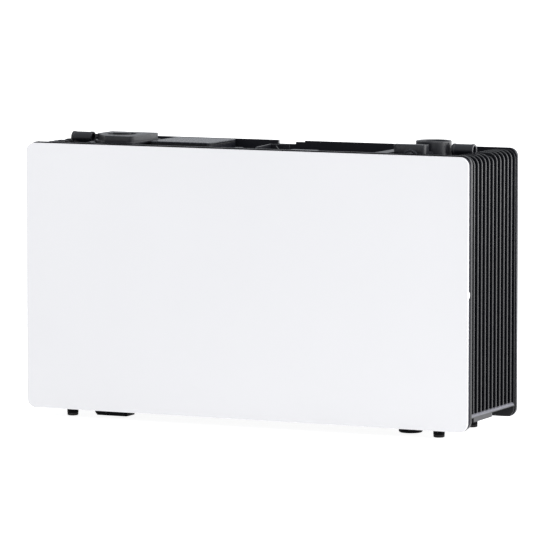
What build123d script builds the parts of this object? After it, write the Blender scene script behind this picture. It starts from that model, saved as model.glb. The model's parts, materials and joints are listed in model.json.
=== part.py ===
"""Landscape wall battery unit, in millimetres.

+X runs along the unit from left to right, -Y is the front and +Z is up. The origin is
under the middle of the unit, on the ground that its four feet stand on. Depths are
counted from the front panel's face towards the wall.
"""
import os

from build123d import *

os.makedirs("parts", exist_ok=True)

# ---------------------------------------------------------------- driving sizes
WIDTH = 1060.0            # front panel, left to right
PANEL_H = 590.0           # front panel and rear plate, bottom to top
DEPTH = 285.0             # panel face to wall face
FOOT_DROP = 22.0          # rear plate's lower edge above the ground
PANEL_DROP = 2.0          # panel, cover and gasket sit this much lower than the flange and rear plate
CORNER_R = 20.0           # corners of the panel, the bezel and the rear plate

SEAT_GAP = 0.3            # between a piece that comes away and what it rests on
FIT_GAP = 0.3             # round a pin, a plug or a boss in its hole
SHAFT_GAP = 0.05          # radial, round a turning shaft

# front: panel, bezel cover, gasket and the tub's flange, one behind the other
PANEL_T = 4.0
PANEL_EDGE_R = 1.2
COVER_T = 7.7
COVER_WEB_T = 3.0
RIM_W = 20.0              # rim of the cover, the gasket and the seat on the flange
GASKET_T = 3.0
GASKET_INSET = 2.0
FLANGE_T = 9.0
TAB_R = 7.5               # half-round tab at mid-height of the panel's side edges
TAB_W = 6.0
TAB_GAP = 0.5

# tub
TUB_WALL = 3.0
TUB_SIDE = 34.0           # panel's side edge to the tub's side wall
TUB_FLOOR = 26.0          # rear plate's lower edge to the tub's underside
DECK_DROP = 55.0          # rear plate's upper edge to the tub's deck
REAR_GAP = 15.0           # tub's back wall to the rear plate
PLATE_T = 8.0

# side heatsinks
FIN_COUNT = 12
FIN_T = 8.0
FIN_FIRST = 40.0          # depth of the first fin's middle
FIN_TIP_INSET = 2.0
FIN_TOP_DROP = 3.0
SINK_BASE_T = 6.0
SINK_SHELF_T = 5.0
SINK_FLANGE_GAP = 1.0
FIN_SEAT = 1.0            # fin's root sunk into the base
FIN_INNER_R = 5.0         # fin's corner over the deck
SINK_REACH = 55.0         # how far the fins run inwards over the deck
TAIL_DROP = 2.0           # last fin's foot above the rear plate's lower edge

# ledge bars under the fins, skirts, tray and feet
BAR_T = 8.0
BAR_CHAMFER = 6.0
SKIRT_H = 10.0
SKIRT_W = 60.0
SKIRT_FRONT = 40.0
SKIRT_BACK = 160.0
SKIRT_R = 20.0
TRAY_GAP = 2.0
TRAY_T = 3.0
TRAY_FRONT = 30.0
FOOT_R = 12.5
FOOT_PAD_H = 6.0
FOOT_SIDE = 87.5          # foot's axis from the panel's side edge
FOOT_FRONT = 52.0
FOOT_BACK = 238.0
FOOT_STUD_R = 5.0
FOOT_BOSS_R = 20.0

# boxes under the tray
SPILL_BOX = (80.0, 44.0, 34.0)      # width, depth and height of the cable outlet box
SPILL_BOX_SIDE = 142.0
POD_R = 26.0
POD_SIDE = 164.0
UNDER_FRONT = 50.0

# wall holes, rear rails and lifting sleeves
WALL_HOLE_R = 5.5
WALL_HOLE_SIDE = 90.0
WALL_HOLE_END = 75.0
RAIL_W = 44.0
RAIL_SIDE = 260.0
RAIL_END = 60.0
NOTCH_W = 43.0
NOTCH_STEP_W = 22.0
NOTCH_DROP = 8.0
NOTCH_STEP_DROP = 3.0
NOTCH_LEFT = 42.0         # notch's left edge, left of the unit's middle
SLEEVE_R = 14.0
SLEEVE_BORE_R = 9.0
SLEEVE_L = 50.0
SLEEVE_SIDE = 70.0
SLEEVE_DEPTH = 144.0
SLEEVE_AXIS_RISE = 2.0    # sleeve's axis above the rear plate's upper edge
SLEEVE_WEB = (30.0, 12.0)

# isolator tower, from the left edge and the panel's face
ISO_LEFT = 112.0
ISO_RIGHT = 230.0
ISO_FRONT = 60.0
ISO_BACK = 200.0
ISO_CUT_X = 53.0          # cut corner at the front left
ISO_CUT_Y = 70.0
ISO_ROUND = 17.0
ISO_RISE = 14.0           # tower's top above the rear plate's upper edge
ISO_WALL = 3.0
ISO_COVER_T = 4.0
TOWER_LEDGE_RISE = 0.0    # ledges round the towers, above the rear plate's upper edge
TOWER_LEDGE_T = 4.0
TOWER_LEDGE_W = 6.0
DIAL_X = 172.0
DIAL_DEPTH = 132.0
DIAL_WELL_R = 33.0
DIAL_WELL_H = 10.0
DIAL_WELL_T = 3.0
DIAL_R = 27.0
DIAL_T = 4.0
GRIP = (44.0, 12.0, 8.0)
SHAFT_R = 4.0
SWITCH_BODY = (60.0, 60.0, 34.0)
SLOT_COUNT = 5

# wiring box
WIRE_LEFT = 240.0
WIRE_RIGHT = 388.0
WIRE_FRONT = 130.0
WIRE_BACK = 272.0
WIRE_WALL = 3.0
WIRE_ROUND = 8.0
WIRE_LID_T = 4.0
WIRE_SEAL_T = 2.0
WIRE_POST_R = 5.0
LID_SCREW_R = 2.0

# conduit tower, from the right edge
HUB_R = 39.0
HUB_BORE_R = 31.0
HUB_HOLE_GAP = 1.0        # round the hub's bore, in the deck and the locknut
HUB_SLEEVE_GAP = 7.0      # between the hub and the lifting sleeve's end
HUB_SIDE = SLEEVE_SIDE + SLEEVE_L / 2 + HUB_SLEEVE_GAP + HUB_R
HUB_DEPTH = 145.0
HUB_RISE = 21.0
TOWER_MARGIN = 23.0       # tower's left wall past the hub
TOWER_LEFT = HUB_SIDE + HUB_R + TOWER_MARGIN
TOWER_RIGHT = 127.0
TOWER_BACK = 150.0
HOOD_BACK = 84.0          # tall front part of the tower, which carries the cable gland
TOWER_RISE = 16.5
TOWER_ROUND = 14.0
SHELF_W = 27.0
SHELF_LEFT = TOWER_LEFT + SHELF_W
SHELF_FRONT = 28.0
GLAND_OFFSET = 18.0       # gland's axis left of the hub's
GLAND_SIDE = HUB_SIDE + GLAND_OFFSET
GLAND_DROP = 11.0
GLAND_R = 18.0
GLAND_SLEEVE_R = 12.0
GLAND_BORE_R = 4.5

# small pieces between the towers
EYE_X = 128.0             # cable eye in front of the isolator tower
EYE_FRONT = 56.0
EYE_L = 20.0
EYE_R = 11.0
EYE_BORE_R = 7.0
EYE_DROP = 11.0
VENT_R = 10.5
VENT_X = 492.0
VENT_DEPTH = 62.0
TRUSS_X = 508.0
TRUSS_W = 44.0
TRUSS_DEPTH = 200.0
TRUSS_LEN = 85.0
TRUSS_BAR = 5.0
PORT_LEFT = 592.0
PORT_W = 63.0
PORT_DEPTH = (92.0, 128.0)
PORT_DROP = 7.0

# cells and their modules
CELL = (50.0, 174.0, 128.0)         # thickness, width and height of one cell
CELL_PITCH = 50.5
CELL_BAY = 150.0          # free bay beside the modules
END_PLATE_T = 8.0
MODULE_TRAY_T = 3.0
MODULE_GAP = 18.0
ROD_R = 3.0
TERMINAL_R = 6.0
TERMINAL_H = 3.0
TERMINAL_OFFSET = 55.0
BUSBAR_T = 2.5
STACK_GAP = 10.0          # between the tub's left wall and the modules
PLATE_MARGIN = 12.0       # end plates and trays past the cells, front and back
CELL_CORNER_R = 3.0

# ---------------------------------------------------------------- worked out
BASE_Z = FOOT_DROP
TOP_Z = FOOT_DROP + PANEL_H
MID_Z = FOOT_DROP + PANEL_H / 2
FRONT_MID = MID_Z - PANEL_DROP
COVER_FRONT = PANEL_T + SEAT_GAP
COVER_BACK = COVER_FRONT + COVER_T
WEB_FRONT = COVER_BACK - COVER_WEB_T
FLANGE_FRONT = COVER_BACK + GASKET_T
FLANGE_BACK = FLANGE_FRONT + FLANGE_T
PLATE_FRONT = DEPTH - PLATE_T
TUB_BACK = PLATE_FRONT - REAR_GAP
TUB_X = WIDTH / 2 - TUB_SIDE
TUB_Z = BASE_Z + TUB_FLOOR
DECK_Z = TOP_Z - DECK_DROP
INNER_X = TUB_X - TUB_WALL
FLOOR_Z = TUB_Z + TUB_WALL
CEILING_Z = DECK_Z - TUB_WALL
FIN_LAST = PLATE_FRONT - FIN_T / 2
FIN_PITCH = (FIN_LAST - FIN_FIRST) / (FIN_COUNT - 1)
FIN_TIP = WIDTH / 2 - FIN_TIP_INSET
FIN_TOP = TOP_Z - FIN_TOP_DROP
BAR_TOP = TUB_Z + BAR_T
TRAY_Z = TUB_Z - SKIRT_H
LEDGE_Z = TOP_Z + TOWER_LEDGE_RISE
LEFT = -WIDTH / 2
RIGHT = WIDTH / 2


def y_at(depth):
    """Y of a depth behind the panel's face."""
    return depth - DEPTH / 2


def upright(depth):
    """Upright plane at a depth; its X is the unit's X, its Y is up, and it faces the front."""
    return Plane.XZ.offset(-y_at(depth))


def level(height):
    """Level plane at a height above the ground."""
    return Plane.XY.offset(height)


def span(low, high):
    """Middle of a span."""
    return (low + high) / 2


def save(piece, label):
    """Name a finished piece and write its file."""
    piece.label = label
    export_step(piece, f"parts/{label}.step")


def slab(back, thick, inset, radius, mode=Mode.ADD, middle=FRONT_MID):
    """Plate of the panel's outline, drawn in by inset; back is the depth of its rear face."""
    with BuildSketch(upright(back)) as outline:
        with Locations((0, middle)):
            RectangleRounded(WIDTH - 2 * inset, PANEL_H - 2 * inset, radius)
    extrude(outline.sketch, amount=thick, mode=mode)


def block(x_span, depth_span, z_span, mode=Mode.ADD):
    """Box between two X values, two depths and two heights."""
    with BuildSketch(level(z_span[0])) as outline:
        with Locations((span(*x_span), y_at(span(*depth_span)))):
            Rectangle(x_span[1] - x_span[0], depth_span[1] - depth_span[0])
    extrude(outline.sketch, amount=z_span[1] - z_span[0], mode=mode)


def post(points, low, high, radius, mode=Mode.ADD):
    """Upright cylinders at points (x, depth), between two heights."""
    with BuildSketch(level(low)) as outline:
        with Locations(*[(x, y_at(depth)) for x, depth in points]):
            Circle(radius)
    extrude(outline.sketch, amount=high - low, mode=mode)


def stud(points, front, back, radius, mode=Mode.ADD):
    """Cylinders along the depth at points (x, z), between two depths."""
    with BuildSketch(upright(back)) as outline:
        with Locations(*points):
            Circle(radius)
    extrude(outline.sketch, amount=back - front, mode=mode)


def mirrored(piece):
    """The same piece for the other side of the unit."""
    with BuildPart() as other:
        mirror(piece, about=Plane.YZ, mode=Mode.ADD)
    return other.part


# ---------------------------------------------------------------- front panel
CLIP_SIDE = 110.0         # clip's axis from the panel's side edge
CLIP_END = 95.0           # clip's axis from the panel's upper and lower edges
clip_x = WIDTH / 2 - CLIP_SIDE
clip_z = PANEL_H / 2 - CLIP_END
CLIP_POINTS = [(x, FRONT_MID + z) for x in (-clip_x, clip_x) for z in (-clip_z, clip_z)]
CLIP_PIN_R = 4.0
CLIP_BASE_R = 8.0
CLIP_BASE_T = 1.0
CLIP_RING_R = 10.0
CLIP_RING_T = 2.5

with BuildPart() as front_panel:
    slab(PANEL_T, PANEL_T, 0, CORNER_R)
    face_edges = front_panel.faces().sort_by(Axis.Y)[0].edges()
    fillet(face_edges, radius=PANEL_EDGE_R)
    with BuildSketch(Plane.YZ.offset(LEFT), Plane.YZ.offset(RIGHT - TAB_W)) as tabs:
        with Locations((y_at(PANEL_T), FRONT_MID)):
            Circle(TAB_R)
        with Locations((y_at(PANEL_T), FRONT_MID)):
            Rectangle(TAB_R, 2 * TAB_R, align=(Align.MAX, Align.CENTER), mode=Mode.SUBTRACT)
    extrude(tabs.sketch, amount=TAB_W)
save(front_panel.part, "front_panel")

with BuildPart() as panel_studs:
    stud(CLIP_POINTS, PANEL_T, PANEL_T + CLIP_BASE_T, CLIP_BASE_R)
    stud(CLIP_POINTS, PANEL_T + CLIP_BASE_T, WEB_FRONT - SEAT_GAP, CLIP_PIN_R)
save(panel_studs.part, "panel_studs")

with BuildPart() as panel_sockets:
    stud(CLIP_POINTS, WEB_FRONT - CLIP_RING_T, WEB_FRONT, CLIP_RING_R)
    stud(CLIP_POINTS, 0, WEB_FRONT, CLIP_PIN_R + FIT_GAP, mode=Mode.SUBTRACT)
save(panel_sockets.part, "panel_sockets")

# ---------------------------------------------------------------- bezel cover and gasket
RIM_SCREW_INSET = 11.0
RIM_SCREW_R = 2.5
RIM_HEAD_R = 4.3
RIM_HEAD_H = 4.5
RIM_ROW = 5               # screws along each long side
RIM_SCREW_END = 1.5       # screw's end short of the flange's back
RIM_HOLE_END = 1.0        # its blind hole's end
screw_x = WIDTH / 2 - RIM_SCREW_INSET
screw_z = PANEL_H / 2 - RIM_SCREW_INSET
row_pitch = 2 * (screw_x - CORNER_R) / (RIM_ROW - 1)
rows = [(row_pitch * (k - (RIM_ROW - 1) / 2), z) for k in range(RIM_ROW) for z in (-screw_z, screw_z)]
sides = [(x, z) for x in (-screw_x, screw_x) for z in (-PANEL_H / 4, PANEL_H / 4)]
RIM_POINTS = [(x, MID_Z + z) for x, z in rows + sides]

with BuildPart() as front_cover:
    slab(COVER_BACK, COVER_T, 0, CORNER_R)
    slab(WEB_FRONT, WEB_FRONT, RIM_W, CORNER_R / 2, mode=Mode.SUBTRACT)
    with BuildSketch(Plane.YZ.offset(LEFT), Plane.YZ.offset(RIGHT - TAB_W - TAB_GAP)) as notches:
        with Locations((y_at(PANEL_T), FRONT_MID)):
            Circle(TAB_R + TAB_GAP)
    extrude(notches.sketch, amount=TAB_W + TAB_GAP, mode=Mode.SUBTRACT)
    stud(RIM_POINTS, 0, COVER_BACK, RIM_SCREW_R + FIT_GAP, mode=Mode.SUBTRACT)
    stud(RIM_POINTS, 0, COVER_FRONT + RIM_HEAD_H, RIM_HEAD_R + FIT_GAP, mode=Mode.SUBTRACT)
save(front_cover.part, "front_cover")

with BuildPart() as gasket:
    slab(FLANGE_FRONT, GASKET_T, GASKET_INSET, CORNER_R - GASKET_INSET)
    slab(FLANGE_FRONT, GASKET_T, RIM_W, CORNER_R / 2, mode=Mode.SUBTRACT)
    stud(RIM_POINTS, COVER_BACK, FLANGE_FRONT, RIM_SCREW_R + FIT_GAP, mode=Mode.SUBTRACT)
save(gasket.part, "cover_gasket")

with BuildPart() as cover_screws:
    stud(RIM_POINTS, COVER_FRONT + FIT_GAP, COVER_FRONT + RIM_HEAD_H, RIM_HEAD_R)
    stud(RIM_POINTS, COVER_FRONT + RIM_HEAD_H, FLANGE_BACK - RIM_SCREW_END, RIM_SCREW_R)
    with BuildSketch(upright(COVER_FRONT + RIM_HEAD_H / 2)) as sockets:
        with Locations(*RIM_POINTS):
            RegularPolygon(RIM_HEAD_R / 2, 6)
    extrude(sockets.sketch, amount=RIM_HEAD_H, mode=Mode.SUBTRACT)
save(cover_screws.part, "cover_screws")

# ---------------------------------------------------------------- tub
ISO_X = (LEFT + ISO_LEFT, LEFT + ISO_RIGHT)
WIRE_X = (LEFT + WIRE_LEFT, LEFT + WIRE_RIGHT)
TOWER_X = (RIGHT - TOWER_LEFT, RIGHT - TOWER_RIGHT)
HUB_POINT = (RIGHT - HUB_SIDE, HUB_DEPTH)
DIAL_POINT = (LEFT + DIAL_X, DIAL_DEPTH)
CABLE_HOLE_R = 15.0
SINK_SCREW_R = 2.5
SINK_SCREW_L = 13.0
SINK_HEAD_R = 4.5
SINK_HEAD_H = 3.5
SINK_SCREW_END = 40.0     # outer screws from the heatsink's ends
SINK_SCREW_GAPS = (0, 5, 9)         # gaps between fins that hold a column of screws
ISO_CABLE_OFFSET = 45.0   # cable hole behind the dial's axis
WIRE_CABLE_OFFSET = 40.0  # cable hole behind the wiring box's middle
sink_gaps = [FIN_FIRST + FIN_PITCH * (k + 0.5) for k in SINK_SCREW_GAPS]
sink_rows = [BAR_TOP + SINK_SCREW_END, span(BAR_TOP, DECK_Z), DECK_Z - SINK_SCREW_END]
SINK_POINTS = [(y_at(depth), z) for depth in sink_gaps for z in sink_rows]

with BuildPart() as tub:
    slab(FLANGE_BACK, FLANGE_T, 0, CORNER_R, middle=MID_Z)
    block((-TUB_X, TUB_X), (FLANGE_FRONT, TUB_BACK), (TUB_Z, DECK_Z))
    inner_depths = (FLANGE_FRONT, TUB_BACK - TUB_WALL)
    block((-INNER_X, INNER_X), inner_depths, (FLOOR_Z, CEILING_Z), mode=Mode.SUBTRACT)
    stud(RIM_POINTS, FLANGE_FRONT, FLANGE_BACK - RIM_HOLE_END, RIM_SCREW_R + FIT_GAP, mode=Mode.SUBTRACT)
    cable_holes = [
        (DIAL_POINT[0], DIAL_POINT[1] + ISO_CABLE_OFFSET),
        (span(*WIRE_X), span(WIRE_FRONT, WIRE_BACK) + WIRE_CABLE_OFFSET),
    ]
    post(cable_holes, CEILING_Z, DECK_Z, CABLE_HOLE_R, mode=Mode.SUBTRACT)
    post([HUB_POINT], CEILING_Z, DECK_Z, HUB_BORE_R + HUB_HOLE_GAP, mode=Mode.SUBTRACT)
    with BuildSketch(Plane.YZ.offset(INNER_X), Plane.YZ.offset(-TUB_X)) as wall_holes:
        with Locations(*SINK_POINTS):
            Circle(SINK_SCREW_R + FIT_GAP)
    extrude(wall_holes.sketch, amount=TUB_WALL, mode=Mode.SUBTRACT)
save(tub.part, "housing_tub")

# ---------------------------------------------------------------- rear rails and plate
PLATE_SCREW_R = 3.0
PLATE_HEAD_R = 5.0
PLATE_HEAD_H = 5.0
PLATE_SCREW_END = 30.0    # outer bolts from the rail's ends
PLATE_HOLE_END = 3.0      # blind hole's end from the rail's front face
PLATE_SHANK_END = 5.0
RAIL_X = WIDTH / 2 - RAIL_SIDE
RAIL_ENDS = (TUB_Z + RAIL_END, DECK_Z - RAIL_END)
rail_rows = (RAIL_ENDS[0] + PLATE_SCREW_END, span(*RAIL_ENDS), RAIL_ENDS[1] - PLATE_SCREW_END)
PLATE_POINTS = [(x, z) for x in (-RAIL_X, RAIL_X) for z in rail_rows]
wall_x = WIDTH / 2 - WALL_HOLE_SIDE
wall_z = PANEL_H / 2 - WALL_HOLE_END
WALL_POINTS = [(x, MID_Z + z) for x in (-wall_x, wall_x) for z in (-wall_z, wall_z)]

with BuildPart() as rear_rails:
    for x in (-RAIL_X, RAIL_X):
        block((x - RAIL_W / 2, x + RAIL_W / 2), (TUB_BACK, PLATE_FRONT), RAIL_ENDS)
    stud(PLATE_POINTS, TUB_BACK + PLATE_HOLE_END, PLATE_FRONT, PLATE_SCREW_R + FIT_GAP, mode=Mode.SUBTRACT)
save(rear_rails.part, "rear_rails")

with BuildPart() as rear_plate:
    slab(DEPTH, PLATE_T, 0, CORNER_R, middle=MID_Z)
    step_end = -NOTCH_LEFT + NOTCH_W + NOTCH_STEP_W
    notch = (-NOTCH_LEFT, -NOTCH_LEFT + NOTCH_W)
    plate_depths = (PLATE_FRONT, DEPTH)
    block(notch, plate_depths, (TOP_Z - NOTCH_DROP, TOP_Z), mode=Mode.SUBTRACT)
    block((-NOTCH_LEFT, step_end), plate_depths, (TOP_Z - NOTCH_STEP_DROP, TOP_Z), mode=Mode.SUBTRACT)
    stud(WALL_POINTS, PLATE_FRONT, DEPTH, WALL_HOLE_R, mode=Mode.SUBTRACT)
    stud(PLATE_POINTS, PLATE_FRONT, DEPTH, PLATE_SCREW_R + FIT_GAP, mode=Mode.SUBTRACT)
    head_front = DEPTH - PLATE_HEAD_H - FIT_GAP
    stud(PLATE_POINTS, head_front, DEPTH, PLATE_HEAD_R + FIT_GAP, mode=Mode.SUBTRACT)
save(rear_plate.part, "rear_plate")

with BuildPart() as plate_bolts:
    stud(PLATE_POINTS, head_front, head_front + PLATE_HEAD_H, PLATE_HEAD_R)
    stud(PLATE_POINTS, TUB_BACK + PLATE_SHANK_END, head_front, PLATE_SCREW_R)
    with BuildSketch(upright(DEPTH)) as sockets:
        with Locations(*PLATE_POINTS):
            RegularPolygon(PLATE_HEAD_R / 2, 6)
    extrude(sockets.sketch, amount=PLATE_HEAD_H / 2 + FIT_GAP, mode=Mode.SUBTRACT)
save(plate_bolts.part, "plate_bolts")

# ---------------------------------------------------------------- heatsinks
FIN_DEPTHS = [FIN_FIRST + FIN_PITCH * k for k in range(FIN_COUNT)]
SINK_BACK = PLATE_FRONT
SINK_FRONT = FLANGE_BACK + SINK_FLANGE_GAP
sink_face = TUB_X + SINK_BASE_T
reach_x = WIDTH / 2 - SINK_REACH
RELIEF_GAP = 3.0          # round the lifting sleeve's end
ROD_WAY_GAP = 2.0         # round a lifting rod on its way into the sleeve

with BuildPart() as heatsink:
    block((TUB_X, sink_face), (SINK_FRONT, SINK_BACK), (BAR_TOP, DECK_Z + SINK_SHELF_T))
    block((reach_x, sink_face), (SINK_FRONT, SINK_BACK), (DECK_Z, DECK_Z + SINK_SHELF_T))
    with BuildSketch(*[upright(depth + FIN_T / 2) for depth in FIN_DEPTHS]) as fins:
        with BuildLine():
            Polyline(
                (sink_face - FIN_SEAT, BAR_TOP),
                (FIN_TIP, BAR_TOP),
                (FIN_TIP, FIN_TOP),
                (reach_x, FIN_TOP),
                (reach_x, DECK_Z),
                (sink_face - FIN_SEAT, DECK_Z),
                close=True,
            )
        make_face()
        corners = fins.vertices().group_by(Axis.Z)[-1].group_by(Axis.X)[-1]
        fillet(corners, radius=CORNER_R)
        inner_corners = fins.vertices().group_by(Axis.Z)[-1].group_by(Axis.X)[0]
        fillet(inner_corners, radius=FIN_INNER_R)
    extrude(fins.sketch, amount=FIN_T)
    block((TUB_X, FIN_TIP), (FIN_LAST - FIN_T / 2, SINK_BACK), (BASE_Z + TAIL_DROP, BAR_TOP))
    tail_edges = heatsink.edges().filter_by(Axis.Y).group_by(Axis.Z)[0]
    fillet(tail_edges.sort_by(Axis.X)[-1], radius=CORNER_R - FIN_TIP_INSET)
    relief_x = (reach_x, WIDTH / 2 - SLEEVE_SIDE + SLEEVE_L / 2 + RELIEF_GAP)
    relief_y = (SLEEVE_DEPTH - SLEEVE_R - RELIEF_GAP, SLEEVE_DEPTH + SLEEVE_R + RELIEF_GAP)
    relief_z = TOP_Z + SLEEVE_AXIS_RISE - SLEEVE_R - RELIEF_GAP
    block(relief_x, relief_y, (relief_z, TOP_Z), mode=Mode.SUBTRACT)
    way = SLEEVE_BORE_R + ROD_WAY_GAP
    way_y = (SLEEVE_DEPTH - way, SLEEVE_DEPTH + way)
    way_z = (TOP_Z + SLEEVE_AXIS_RISE - way, TOP_Z)
    block((reach_x, RIGHT), way_y, way_z, mode=Mode.SUBTRACT)
    with BuildSketch(Plane.YZ.offset(TUB_X)) as holes:
        with Locations(*SINK_POINTS):
            Circle(SINK_SCREW_R + FIT_GAP)
    extrude(holes.sketch, amount=SINK_BASE_T, mode=Mode.SUBTRACT)
save(heatsink.part, "heatsink_right")
save(mirrored(heatsink.part), "heatsink_left")

with BuildPart() as sink_screws:
    with BuildSketch(Plane.YZ.offset(sink_face)) as heads:
        with Locations(*SINK_POINTS):
            Circle(SINK_HEAD_R)
    extrude(heads.sketch, amount=SINK_HEAD_H)
    with BuildSketch(Plane.YZ.offset(sink_face - SINK_SCREW_L)) as shanks:
        with Locations(*SINK_POINTS):
            Circle(SINK_SCREW_R)
    extrude(shanks.sketch, amount=SINK_SCREW_L)
    mirror(about=Plane.YZ)
save(sink_screws.part, "heatsink_screws")

# ---------------------------------------------------------------- ledge bars, tray and feet
BAR_END_GAP = 0.4
FOOT_CHAMFER = 1.0
FOOT_STUD_END = 1.0       # stud's end below the tray's top
PAD_INSET = 1.0           # pad's edge inside the foot's
PAD_FILLET = 1.5
BAR_BACK = FIN_LAST - FIN_T / 2 - BAR_END_GAP

with BuildPart() as ledge_bar:
    block((TUB_X, RIGHT), (FLANGE_BACK, BAR_BACK), (TUB_Z, BAR_TOP))
    top_edges = ledge_bar.edges().filter_by(Axis.Y).group_by(Axis.Z)[-1]
    chamfer(top_edges.sort_by(Axis.X)[-1], length=BAR_CHAMFER)
    block((FIN_TIP - SKIRT_W, FIN_TIP), (SKIRT_FRONT, SKIRT_BACK), (TRAY_Z, TUB_Z))
    skirt_edges = ledge_bar.edges().filter_by(Axis.Z).group_by(Axis.Z)[0]
    fillet(skirt_edges.group_by(Axis.X)[-1].sort_by(Axis.Y)[-1], radius=SKIRT_R)
save(ledge_bar.part, "ledge_bar_right")
save(mirrored(ledge_bar.part), "ledge_bar_left")

tray_x = FIN_TIP - SKIRT_W - TRAY_GAP
foot_x = WIDTH / 2 - FOOT_SIDE
FOOT_POINTS = [(x, depth) for x in (-foot_x, foot_x) for depth in (FOOT_FRONT, FOOT_BACK)]

with BuildPart() as tray:
    block((-tray_x, tray_x), (TRAY_FRONT, TUB_BACK), (TRAY_Z, TUB_Z))
    hollow_x = tray_x - TRAY_T
    hollow_y = (TRAY_FRONT + TRAY_T, TUB_BACK - TRAY_T)
    block((-hollow_x, hollow_x), hollow_y, (TRAY_Z + TRAY_T, TUB_Z), mode=Mode.SUBTRACT)
    post(FOOT_POINTS, TRAY_Z, TUB_Z, FOOT_BOSS_R)
    post(FOOT_POINTS, TRAY_Z, TUB_Z, FOOT_STUD_R + FIT_GAP, mode=Mode.SUBTRACT)
save(tray.part, "base_tray")

with BuildPart() as feet:
    post(FOOT_POINTS, FOOT_PAD_H, TRAY_Z, FOOT_R)
    rims = feet.edges().filter_by(GeomType.CIRCLE).group_by(Axis.Z)[0]
    chamfer(rims, length=FOOT_CHAMFER)
    post(FOOT_POINTS, TRAY_Z, TUB_Z - FOOT_STUD_END, FOOT_STUD_R)
save(feet.part, "feet")

with BuildPart() as foot_pads:
    post(FOOT_POINTS, 0, FOOT_PAD_H, FOOT_R - PAD_INSET)
    pad_rims = foot_pads.edges().filter_by(GeomType.CIRCLE).group_by(Axis.Z)[0]
    fillet(pad_rims, radius=PAD_FILLET)
save(foot_pads.part, "foot_pads")

# ---------------------------------------------------------------- boxes under the tray
box_w, box_d, box_h = SPILL_BOX
SPILL_CHAMFER = 8.0
SPILL_CORNER_R = 5.0
SPILL_WALL_X = 12.0
SPILL_WALL_Y = 10.0
SPILL_ROOF = 6.0
POD_FILLET = 4.0
POD_MOUTH_H = 12.0
spill_x = (LEFT + SPILL_BOX_SIDE, LEFT + SPILL_BOX_SIDE + box_w)

with BuildPart() as outlet_box:
    block(spill_x, (UNDER_FRONT, UNDER_FRONT + box_d), (TRAY_Z - box_h, TRAY_Z))
    low_edges = outlet_box.edges().group_by(Axis.Z)[0].filter_by(Axis.Y)
    chamfer(low_edges.sort_by(Axis.X)[0], length=SPILL_CHAMFER)
    fillet(outlet_box.edges().filter_by(Axis.Z), radius=SPILL_CORNER_R)
    hollow_x = (spill_x[0] + SPILL_WALL_X, spill_x[1] - SPILL_WALL_X)
    hollow_y = (UNDER_FRONT + SPILL_WALL_Y, UNDER_FRONT + box_d - SPILL_WALL_Y)
    block(hollow_x, hollow_y, (TRAY_Z - box_h, TRAY_Z - SPILL_ROOF), mode=Mode.SUBTRACT)
save(outlet_box.part, "outlet_box")

POD_POINT = (RIGHT - POD_SIDE, UNDER_FRONT + POD_R)
with BuildPart() as vent_pod:
    post([POD_POINT], TRAY_Z - box_h, TRAY_Z, POD_R)
    pod_rim = vent_pod.edges().filter_by(GeomType.CIRCLE).group_by(Axis.Z)[0]
    fillet(pod_rim, radius=POD_FILLET)
    post([POD_POINT], TRAY_Z - box_h, TRAY_Z - box_h + POD_MOUTH_H, POD_R / 2, mode=Mode.SUBTRACT)
save(vent_pod.part, "vent_pod")

# ---------------------------------------------------------------- lifting sleeves
SLEEVE_Z = TOP_Z + SLEEVE_AXIS_RISE
SLEEVE_X = WIDTH / 2 - SLEEVE_SIDE
web_w, web_t = SLEEVE_WEB
SLEEVE_PLATE_T = 5.0
SLEEVE_PLATE_X = 12.0     # foot plate's reach past the web, towards the middle of the unit
SLEEVE_PLATE_Y = 48.0
SLEEVE_CHAMFER = 0.8
sleeve_start = Plane.YZ.offset(SLEEVE_X - SLEEVE_L / 2)

with BuildPart() as sleeve:
    with BuildSketch(sleeve_start) as barrel:
        with Locations((y_at(SLEEVE_DEPTH), SLEEVE_Z)):
            Circle(SLEEVE_R)
    extrude(barrel.sketch, amount=SLEEVE_L)
    end_rims = sleeve.edges().filter_by(GeomType.CIRCLE)
    chamfer(end_rims, length=SLEEVE_CHAMFER)
    web_end = reach_x - FIT_GAP
    plate_x = (web_end - SLEEVE_PLATE_X - web_w, web_end)
    plate_y = (SLEEVE_DEPTH - SLEEVE_PLATE_Y / 2, SLEEVE_DEPTH + SLEEVE_PLATE_Y / 2)
    block(plate_x, plate_y, (DECK_Z, DECK_Z + SLEEVE_PLATE_T))
    web_y = (SLEEVE_DEPTH - web_t / 2, SLEEVE_DEPTH + web_t / 2)
    block((web_end - web_w, web_end), web_y, (DECK_Z, SLEEVE_Z))
    with BuildSketch(sleeve_start) as bore:
        with Locations((y_at(SLEEVE_DEPTH), SLEEVE_Z)):
            Circle(SLEEVE_BORE_R)
    extrude(bore.sketch, amount=SLEEVE_L, mode=Mode.SUBTRACT)
save(sleeve.part, "lifting_sleeve_right")
save(mirrored(sleeve.part), "lifting_sleeve_left")

# ---------------------------------------------------------------- isolator tower
ISO_COVER_TOP = TOP_Z + ISO_RISE
ISO_TOP = ISO_COVER_TOP - ISO_COVER_T
COVER_FILLET = 1.5        # upper rims of the tower's cover, the dial and the lids
SLOT_SIZE = (8.0, 4.0)
SLOT_PITCH = 11.0
SLOT_PLACE = (8.0, 16.0)  # row of slots right of the dial's axis and behind the tower's front


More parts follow.
